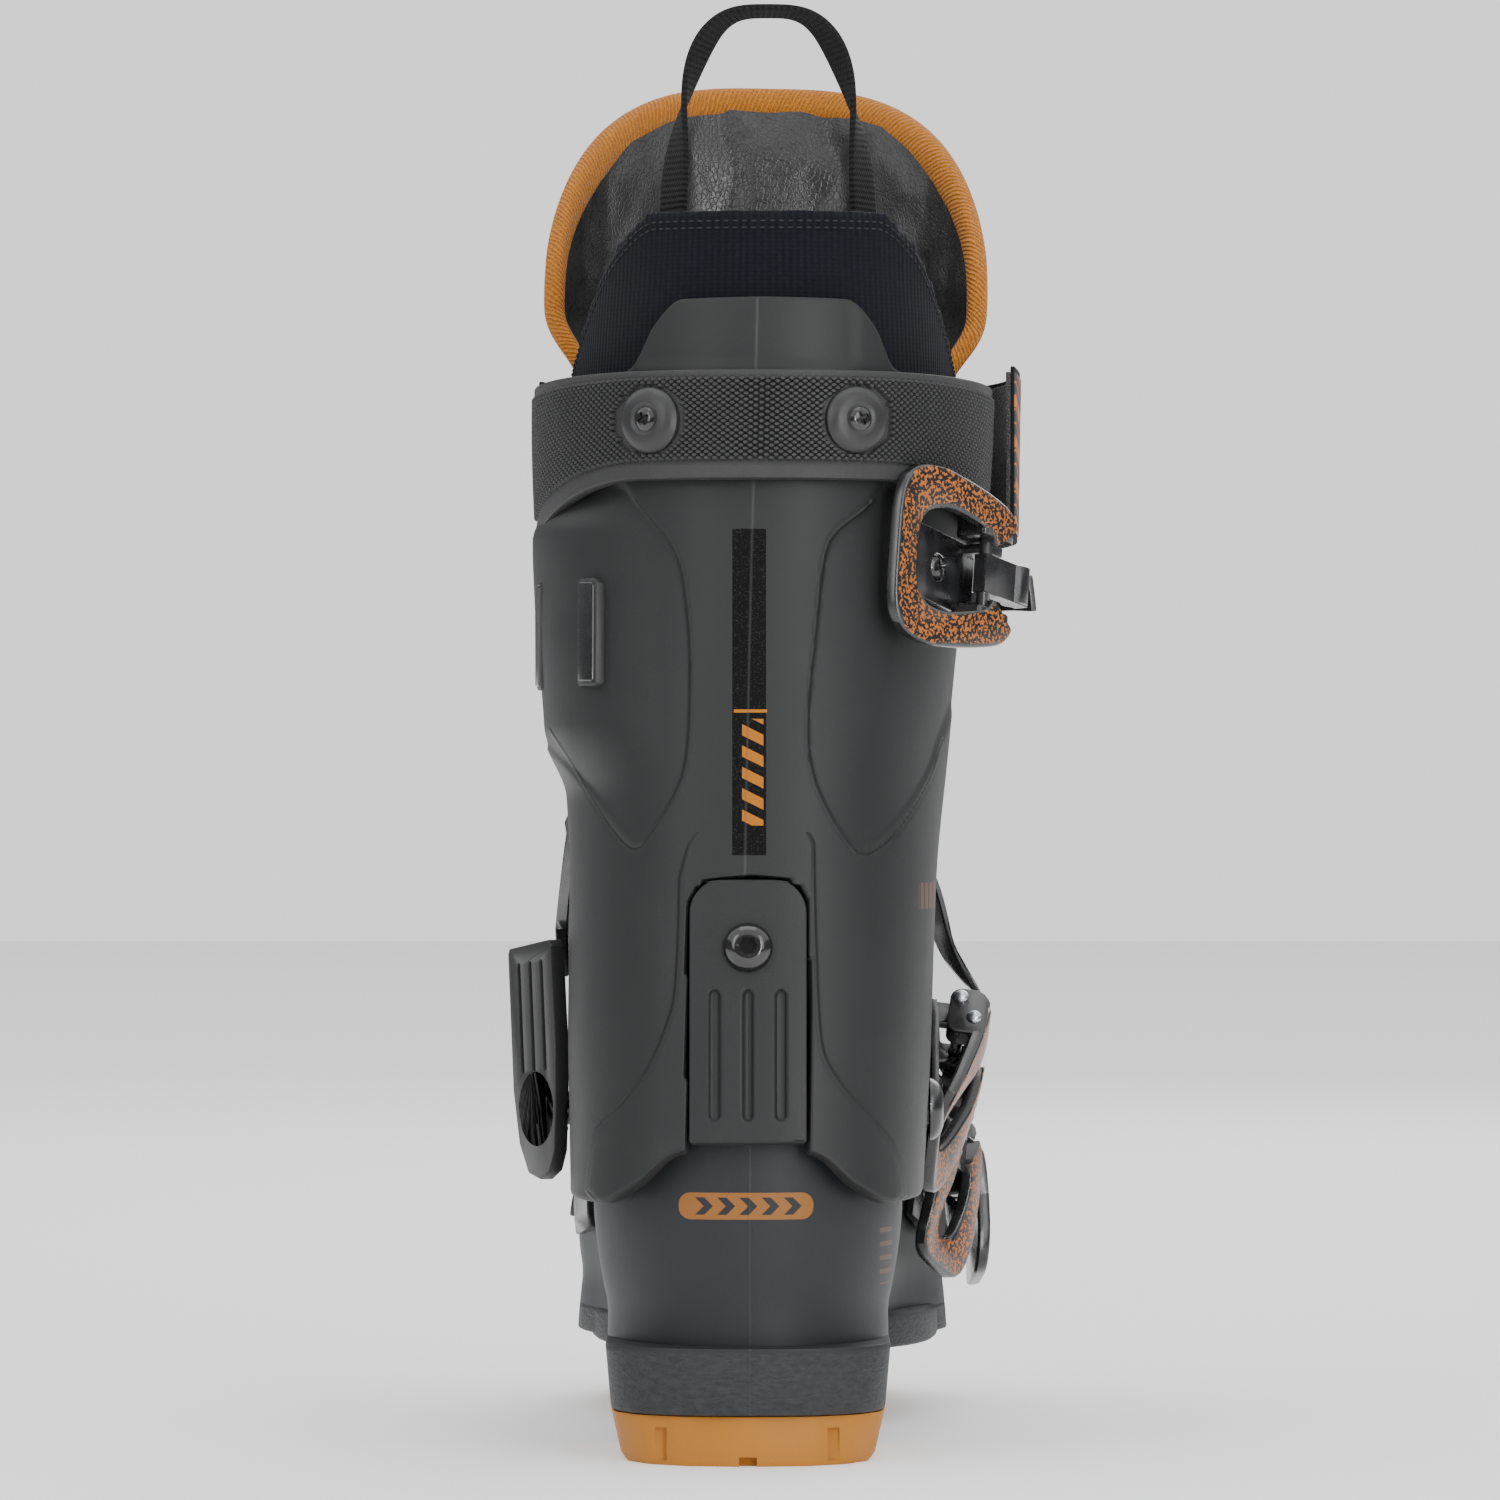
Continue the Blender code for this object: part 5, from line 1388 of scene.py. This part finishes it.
def make_buckle(name):
    place = buckle_frame(name)
    make_lever(name)
    pin = moved(rivet_rod(name + "_pin_look"), place)
    finished(pin, "zinc", name + "_lever_pin")
    link = refined(name + "_link", name + "_link_look", COATED, 0.0005, 2, 40.0)
    rivets = moved(rivet_rod("rivets"), place @ Matrix.Translation(LINK_PIVOT))
    link = joined(link, rivets)
    finished(link, "black_metal", name + "_link")
    base = refined(name + "_base", name + "_base_look", COATED, 0.0005, 2, 40.0)
    reach = (BUCKLES[name][1] / 2 - 0.004) * 0.95
    screw = cross_screw("base_screw", 0.0038, 0.0016)
    moved(screw, place @ Matrix.Translation((0, reach, -0.0034)))
    base = shade(joined(base, screw), 40.0)
    finished(base, "black_metal", name + "_base")
    arm = refined(name + "_arm", name + "_arm_look", COATED, 0.0004, 2, 40.0, quads=True, levels=2)
    finished(arm, "black_metal", name + "_arm")
    ladder = refined(name + "_ladder", name + "_ladder_look", COATED, 0.0004, 1, 40.0, quads=True)
    finished(ladder, "black_metal", name + "_ladder")


# ---------------------------------------------------------------- strap round the calf and shin


def band_surface(angle, height, out):
    point = strap_point(angle, height, out)
    around = strap_point(angle + 0.6, height, out) - strap_point(angle - 0.6, height, out)
    rise = strap_point(angle, height + 0.03, out) - strap_point(angle, height - 0.03, out)
    return point, -around.normalized(), rise.cross(around).normalized()


BAND_SCREWS = {"inner": -0.025, "outer": 0.0276}
BAND_SCREW_Z = 0.265
STUD_ROWS = 27
STUDS_ROUND = 96


def make_band(stud_tree):
    """Rubber band with a flat lip along each edge and rows of lozenge studs between them."""
    out = BAND_WALL + 0.0004
    angles = np.linspace(BAND_END, 360 - BAND_END, 181)
    heights = np.concatenate([[0, 0.03, 0.06, 0.11, 0.14, 0.17], np.linspace(0.2, 0.92, 12),
                              [0.95, 0.975, 1.0]])
    rows = []
    for h in heights:
        lip = 0.0006 * (1 - ease((h - 0.11) / 0.06)) + 0.0004 * ease((h - 0.925) / 0.025)
        rows.append([tuple(strap_point(a, h, out + lip)) for a in angles])
    band = grid_object("strap_band_look", np.array(rows), grid_faces(len(heights), len(angles)), BAND)
    bevelled(walled(band, BAND_WALL), 0.0006, 2, 60.0)
    frames = []
    for row in range(STUD_ROWS):
        height = mix(0.185, 0.915, row / (STUD_ROWS - 1))
        for i in range(STUDS_ROUND):
            angle = BAND_END + 3.0 + (i + (row % 2) / 2) * (354.0 - 2 * BAND_END) / STUDS_ROUND
            point = strap_point(angle, height, out)
            near = min(math.hypot(point.x - x, point.z - BAND_SCREW_Z) for x in BAND_SCREWS.values())
            if near < 0.0092 and 120 < angle < 240:
                continue
            frames.append(band_surface(angle, height, out))
    studs = repeated("band_studs", stud_tree, frames, (0.0026, 0.0017, 0.0011), BAND)
    return finished(shade(joined(band, studs), 38.0), "band_rubber", "strap_band")


def cross_screw(name, radius, height):
    """Pan head with a cross recess."""
    head = turned(name, ((0.0, height), (radius * 0.5, height * 0.94), (radius * 0.82, height * 0.66),
                         (radius, height * 0.12), (radius, -0.001), (0.0, -0.001)), 32, GLOSS)
    for turn in (25, 115):
        arm = prism("recess", round_box(radius * 0.52, radius * 0.10, radius * 0.06, 2), height * 0.35,
                    height + 0.002, GLOSS)
        boolean(head, recalculated(moved(arm, Matrix.Rotation(math.radians(turn), 4, "Z"))), "DIFFERENCE")
    return shade(head, 32.0)


def make_band_fixings():
    rim = ((0.0036, 0.0026), (0.0043, 0.0030), (0.0060, 0.0028), (0.0078, 0.0020), (0.00875, 0.0006),
           (0.00875, -0.0006), (0.0036, -0.0006))
    disc = ((0.0, 0.0018), (0.0040, 0.0018), (0.0040, -0.0004), (0.0, -0.0004))
    for side, x in BAND_SCREWS.items():
        place = placed(*rear_frame(x, BAND_SCREW_Z, BAND_WALL + 0.0004))
        washer = turned("strap_washer_" + side + "_look", rim, 48, BLACK_PLASTIC)
        washer = moved(joined(washer, turned("floor", disc, 32, BLACK_PLASTIC)), place)
        finished(washer, "black_plastic", "strap_washer_" + side)
        screw = cross_screw("strap_screw_" + side + "_look", 0.0036, 0.0016)
        moved(screw, place @ Matrix.Translation((0, 0, 0.0018)))
        finished(screw, "black_metal", "strap_screw_" + side)


# The free end's way past the outer side, as (forward, away) from the cuff's widest point
FREE_END = ((0.040, 0.0085), (0.026, 0.0125), (0.012, 0.0120), (-0.002, 0.0105))
LEVEL_END = 36
FREE_RINGS = 26
LEG_MIDDLE = 0.17


def webbing_stations():
    """Middle line of the webbing's outer face, from its sewn end on the inner side to its free end."""
    stations = []
    inner_end = -(BAND_END - 4.5)
    for i in range(67):
        angle = mix(inner_end, 58.0, i / 66)
        rise = 0.0012 + (CUFF_WALL + FLAP_GAP) * ease((angle + 34.0) / 10.0)
        stations.append(cuff_point(cuff_s(0.256, angle), angle, rise + WEBBING_WALL))
    side = cuff_point(cuff_s(0.259, 90.0), 90.0)
    ends = [stations[-1]] + [side + AHEAD * forward + SIDE * away for forward, away in FREE_END]
    for a, b in zip(ends, ends[1:]):
        stations += [a.lerp(b, k / 6) for k in range(1, 7)]
    points = np.array([tuple(p) for p in stations])
    for _ in range(14):
        points[1:-1] = (points[:-2] + 2 * points[1:-1] + points[2:]) / 4
    # The free end climbs evenly, so its edges stay level where it leaves the flap.
    points[-LEVEL_END:, 2] = np.linspace(points[-LEVEL_END, 2], points[-1, 2], LEVEL_END)
    return [Vector(p) for p in points]


def webbing_rings(low, high, half):
    """Rings of the webbing's section, between two depths measured inwards from its outer face."""
    rings = []
    stations = webbing_stations()
    for i, point in enumerate(stations):
        ahead = (stations[min(i + 1, len(stations) - 1)] - stations[max(i - 1, 0)]).normalized()
        normal = ahead.cross(UP).normalized()
        if normal.dot(point - (ANKLE + UP * LEG_MIDDLE)) < 0:
            normal = -normal
        rise = normal.cross(ahead).normalized()
        rise = rise if rise.z > 0 else -rise
        share = i / (len(stations) - 1)
        sway = 0.0006 * math.sin(9 * share) * ease((share - 0.7) / 0.1)
        ring = [point - normal * low + rise * (half * mix(-1, 1, k / 12) + sway) for k in range(13)]
        ring += [point - normal * high + rise * (half * mix(1, -1, k / 12) + sway) for k in range(13)]
        rings.append(ring)
    return rings


def make_power_strap():
    """Webbing over the shin; its free end has a printed face outside and hooks inside."""
    half, deep = WEBBING_WIDTH / 2, WEBBING_WALL
    outer = skin("power_strap_look", webbing_rings(0.0, deep * 0.5, half), WEBBING)
    print_rings = webbing_rings(-0.0004, 0.0003, half - 0.0018)[-FREE_RINGS:]
    face = skin("strap_face", print_rings, STRAP_PRINT)
    inner = skin("strap_hooks", webbing_rings(deep * 0.45, deep, half - 0.0015)[-FREE_RINGS:], HOOKS)
    lining_rings = webbing_rings(deep * 0.45, deep, half - 0.0004)[: 1 - FREE_RINGS]
    plain = skin("strap_lining", lining_rings, WEBBING)
    for piece in (outer, face, inner, plain):
        bevelled(recalculated(piece), 0.0003, 2, 50.0)
    strap = joined(outer, face, inner, plain)
    return finished(shade(strap, 45.0), "webbing", "power_strap")


# ---------------------------------------------------------------- liner


def inflated(obj, voxel, pressure, cap, hold):
    """Remeshes a closed pad evenly, blows it up gently as cloth and caps its movement.

    hold(x, y, z) is the share of the movement that each point may take.
    """
    add_modifier(obj, "even", "REMESH", mode="VOXEL", voxel_size=voxel, use_smooth_shade=True)
    apply_modifiers(obj)
    scene = bpy.context.scene
    gravity = scene.use_gravity
    scene.use_gravity = False
    rest = positions(obj.data)
    held = hold(rest[:, 0], rest[:, 1], rest[:, 2])
    group = obj.vertex_groups.new(name="held")
    for index in np.flatnonzero(held < 0.02):
        group.add([int(index)], 1.0, "REPLACE")
    cloth = obj.modifiers.new("pad", "CLOTH")
    foam = {"quality": 5, "mass": 0.3, "tension_stiffness": 18, "compression_stiffness": 18,
            "bending_stiffness": 0.6, "use_pressure": True, "uniform_pressure_force": pressure,
            "vertex_group_mass": "held"}
    for key, value in foam.items():
        setattr(cloth.settings, key, value)
    cloth.collision_settings.use_collision = False
    cloth.point_cache.frame_start = 1
    cloth.point_cache.frame_end = 20
    for number in range(1, 21):
        scene.frame_set(number)
    graph = bpy.context.evaluated_depsgraph_get()
    made = bpy.data.meshes.new_from_object(obj.evaluated_get(graph))
    shift = positions(made) - rest
    scene.frame_set(1)
    scene.use_gravity = gravity
    obj.modifiers.clear()
    obj.vertex_groups.clear()
    length = np.linalg.norm(shift, axis=1, keepdims=True)
    shift *= np.minimum(1.0, cap / np.maximum(length, 1e-9)) * held[:, None]
    obj.data.vertices.foreach_set("co", (rest + shift).reshape(-1))
    obj.data.update()
    return divided(obj, 1)


def positions(mesh):
    points = np.empty(len(mesh.vertices) * 3)
    mesh.vertices.foreach_get("co", points)
    return points.reshape(-1, 3)


def pad_grids(angles, rows, low, high, out, wall):
    """Outer and inner grid of a pad over the leg; every limit is a function of the angle."""
    grids = []
    for share in (0.0, 1.0):
        grid = []
        for i in range(rows):
            row = []
            for angle in angles:
                s = mix(low(angle), high(angle), i / (rows - 1))
                row.append(tuple(cuff_point(s, angle, out(s) - share * wall(angle))))
            grid.append(row)
        grids.append(np.array(grid))
    return grids


def seated(points, obj, lift=0.0):
    """(point, along, outward) frames for a run of points laid onto the object's surface."""
    graph = bpy.context.evaluated_depsgraph_get()
    graph.update()
    found = []
    for point in points:
        _, place, normal, _ = obj.closest_point_on_mesh(point)
        found.append((place + normal * lift, normal))
    frames = []
    for i, (place, normal) in enumerate(found):
        ahead = found[min(i + 1, len(found) - 1)][0] - found[max(i - 1, 0)][0]
        frames.append((place, ahead.normalized(), normal))
    return frames


def evenly(path, pitch):
    """Points every pitch along a polyline."""
    found, carry = [], 0.0
    for a, b in zip(path, path[1:]):
        length = (b - a).length
        while carry < length:
            found.append(a.lerp(b, carry / length))
            carry += pitch
        carry -= length
    return found


def make_liner_shaft(stitch_tree):
    def low(angle):
        return cuff_s(SHAFT_FOOT, angle)

    def high(angle):
        return cuff_s(SHAFT_HIGH(from_front(angle)), angle)

    angles = list(np.linspace(78.0, 282.0, 121))
    outer, inner = pad_grids(angles, 60, low, high, shaft_out, lambda angle: LINER_WALL)
    shaft = padding("liner_shaft_look", outer, inner, KNIT)

    def hold(x, y, z):
        angle = np.degrees(np.arctan2(x, y - ANKLE.y - (z - ANKLE.z) * 0.23)) % 360
        edge = np.interp(np.abs(angle - 180), [0, 20, 28, 35, 60, 102],
                         [0.297, 0.2965, 0.290, 0.279, 0.275, 0.270])
        return eased((z - edge - 0.001) / 0.012)

    shaft = inflated(shaft, 0.0024, 4.0, 0.0022, hold)
    frames = []
    for drop in (0.0034, 0.0052):
        path = [cuff_point(high(a) - drop, a, shaft_out(high(a))) for a in np.linspace(100.0, 260.0, 400)]
        frames += seated(evenly(path, STITCH_PITCH), shaft, 0.0001)
    stitches = repeated("liner_stitches", stitch_tree, frames, (0.0017, 0.00050, 0.00050), THREAD)
    shaft = shade(joined(shaft, stitches), 60.0)
    finished(shaft, "liner_fabric", "liner_shaft")
    return shaft


def tongue_high(angle):
    share = abs(angle) / (TONGUE_SIDE + 4.0)
    return TONGUE_SHOULDER + TONGUE_RISE * math.sqrt(1 - share**2.4)


def tongue_wall(angle):
    return mix(0.0066, 0.0038, ease((abs(angle) - 28.0) / 40.0))


def make_tongue():
    def low(angle):
        return TONGUE_FOOT + 0.03 * (1 - abs(angle) / (TONGUE_SIDE + 4.0))

    angles = list(np.linspace(-TONGUE_SIDE, TONGUE_SIDE, 75))
    outer, inner = pad_grids(angles, 90, low, tongue_high, tongue_out, tongue_wall)
    tongue = padding("tongue_look", outer, inner, LEATHER)

    def hold(x, y, z):
        return eased((z - 0.285) / 0.02)

    tongue = inflated(tongue, 0.0026, 4.0, 0.0028, hold)
    tongue = finished(shade(joined(tongue, tongue_rim()), 60.0), "tongue_leather", "tongue")
    return tongue


def tongue_rim():
    """Knit edging folded over the tongue's top edge."""
    side = [mix(0.196, 0.2300, i / 10) for i in range(11)]
    places = [(-TONGUE_SIDE, s) for s in side]
    places += [(a, tongue_high(a)) for a in np.linspace(-TONGUE_SIDE + 1.0, TONGUE_SIDE - 1.0, 119)]
    places += [(TONGUE_SIDE, s) for s in side[::-1]]
    steps = len(places) - 1
    path = [(cuff_point(s, angle, tongue_out(s) - tongue_wall(angle) / 2), angle, s) for angle, s in places]
    middle = cuff_point(0.215, 0.0, -0.010)
    rings = []
    for i, (point, angle, s) in enumerate(path):
        ahead = (path[min(i + 1, steps)][0] - path[max(i - 1, 0)][0]).normalized()
        outward = cuff_point(s, angle, tongue_out(s)) - cuff_point(s, angle, tongue_out(s) - 0.007)
        outward = (outward - ahead * outward.dot(ahead)).normalized()
        edge = ahead.cross(outward).normalized()
        if edge.dot(point - middle) < 0:
            edge = -edge
        taper = ease((s - 0.215) / 0.060)
        end = ease(min(i, steps - i) / 8)
        deep = mix(0.0024, 0.0048, taper) * mix(0.5, 1.0, end)
        thick = (tongue_wall(angle) / 2 + 0.0009) * mix(0.8, 1.0, end)
        ring = []
        for k in range(16):
            turn = math.tau * k / 16
            ring.append(point + outward * thick * signed_power(math.cos(turn), 0.8)
                        + edge * (deep * signed_power(math.sin(turn), 0.8) - deep * 0.55))
        rings.append(ring)
    return divided(recalculated(skin("tongue_rim", rings, RIM)), 1)


def make_pull_loop():
    count = 150
    path = []
    out = shaft_out(0.24)
    for i in range(count + 1):
        turn = math.pi * i / count
        x = LOOP_CENTRE - LOOP_HALF * signed_power(math.cos(turn), 0.62)
        point, _, _, outward = rear_frame(x, LOOP_FOOT, out)
        foot = point - outward * (LINER_WALL + 0.0042)
        climb = LOOP_RISE * math.sin(turn) ** 0.75
        path.append((Vector((foot.x, foot.y + 0.012 * math.sin(turn), LOOP_FOOT + climb)), -outward))
    rings = []
    for i, (point, inward) in enumerate(path):
        ahead = (path[min(i + 1, count)][0] - path[max(i - 1, 0)][0]).normalized()
        twist = math.radians(90) * ease(math.sin(math.pi * i / count) * 1.5 - 0.35)
        flat = (inward - ahead * inward.dot(ahead)).normalized()
        edge = ahead.cross(flat).normalized()
        wide = (edge * math.cos(twist) + flat * math.sin(twist)) * LOOP_WIDTH / 2
        thin = (flat * math.cos(twist) - edge * math.sin(twist)) * LOOP_WALL / 2
        rings.append([point + wide * mix(-1, 1, k / 5) - thin for k in range(6)]
                     + [point + wide * mix(1, -1, k / 5) + thin for k in range(6)])
    loop = recalculated(skin("pull_loop_look", rings, WEBBING))
    return finished(shade(bevelled(loop, 0.0003, 2, 50.0), 45.0), "webbing", "pull_loop")


def make_bootie():
    """Foot of the liner and the footbed, both inside the shell."""
    inset = SHELL_WALL + 0.0021
    levels = [mix(0.0310, 0.149, i / 24) for i in range(25)]
    outer = [shell_ring(z, inset, 24) for z in levels]
    inner = [shell_ring(z, inset + LINER_WALL, 24) for z in (levels[0] + LINER_WALL, *levels[3:])]
    bootie = recalculated(skin("liner_bootie_look", outer + inner[::-1], KNIT))
    bevelled(bootie, 0.0016, 3, 55.0)
    finished(shade(bootie, 50.0), "liner_fabric", "liner_bootie")
    ring = shell_ring(0.034, inset + LINER_WALL + 0.0045, 24)
    bed = recalculated(prism("footbed_look", [(p.x, p.y) for p in ring], 0.0380, 0.0410, KNIT))
    finished(shade(bevelled(bed, 0.0007, 2, 50.0), 50.0), "liner_fabric", "footbed")


# ---------------------------------------------------------------- stage


def area_light(name, place, target, size, power):
    data = bpy.data.lights.new(name, "AREA")
    data.shape = "RECTANGLE"
    data.size, data.size_y = size
    data.energy = power
    light = bpy.data.objects.new(name, data)
    bpy.context.scene.collection.objects.link(light)
    light.location = place
    light.rotation_euler = (Vector(target) - Vector(place)).to_track_quat("-Z", "Y").to_euler()


def make_stage():
    paper = Finish("floor_paper", (0.88, 0.88, 0.88), 0.9, Emission_Color=(1, 1, 1, 1),
                   Emission_Strength=0.22)
    mesh = bpy.data.meshes.new("floor")
    mesh.from_pydata([(-6, -6, 0), (6, -6, 0), (6, 6, 0), (-6, 6, 0)], [], [(0, 1, 2, 3)])
    add_object("floor", mesh, paper.material)
    make_world()
    area_light("left", (-1.1, -1.3, 1.0), (0, 0, 0.18), (0.6, 1.2), 7.0)
    area_light("right", (1.1, -1.2, 0.9), (0, 0, 0.18), (0.5, 1.2), 5.0)
    area_light("top", (0.0, 0.1, 1.6), (0, 0.05, 0.2), (1.2, 1.2), 6.0)
    area_light("ceiling", (0.0, 0.0, 4.0), (0, 0, 0), (16.0, 16.0), 900.0)
    area_light("strip", (0.95, -2.15, 0.45), (0, 0, 0.18), (0.22, 1.5), 24.0)
    area_light("front", (0.6, 1.8, 1.2), (0, 0.1, 0.15), (1.0, 1.0), 12.0)


def make_world():
    """Pale to the eye, dimmer as a light, as in a studio whose walls are partly dark."""
    world = bpy.data.worlds.new("studio")
    world.use_nodes = True
    nodes, links = world.node_tree.nodes, world.node_tree.links
    dim = nodes["Background"]
    dim.inputs["Color"].default_value = (0.95, 0.97, 1.0, 1.0)
    dim.inputs["Strength"].default_value = 0.25
    pale = nodes.new("ShaderNodeBackground")
    pale.inputs["Color"].default_value = (1.0, 1.0, 1.0, 1.0)
    pale.inputs["Strength"].default_value = 1.3
    seen = nodes.new("ShaderNodeLightPath")
    choice = nodes.new("ShaderNodeMixShader")
    links.new(seen.outputs["Is Camera Ray"], choice.inputs[0])
    links.new(dim.outputs[0], choice.inputs[1])
    links.new(pale.outputs[0], choice.inputs[2])
    links.new(choice.outputs[0], nodes["World Output"].inputs["Surface"])
    bpy.context.scene.world = world


def make_camera():
    data = bpy.data.cameras.new("view")
    data.lens = 209.5
    data.sensor_width = 36.0
    data.clip_end = 50.0
    camera = bpy.data.objects.new("view", data)
    camera.location = (0.0005, -2.242, 0.1806)
    camera.rotation_euler = (math.radians(90), 0.0, 0.0)
    bpy.context.scene.collection.objects.link(camera)
    bpy.context.scene.camera = camera


STUD = repeat_tree("lozenge_studs", "stud")
STITCH = repeat_tree("stitches", "stitch")
make_lower_shell()
make_sole()
make_cuff()
make_spine()
make_ankle_plate()
for buckle in BUCKLES:
    make_buckle(buckle)
make_band(STUD)
make_band_fixings()
make_power_strap()
make_liner_shaft(STITCH)
make_tongue()
make_pull_loop()
make_bootie()
make_stage()
make_camera()
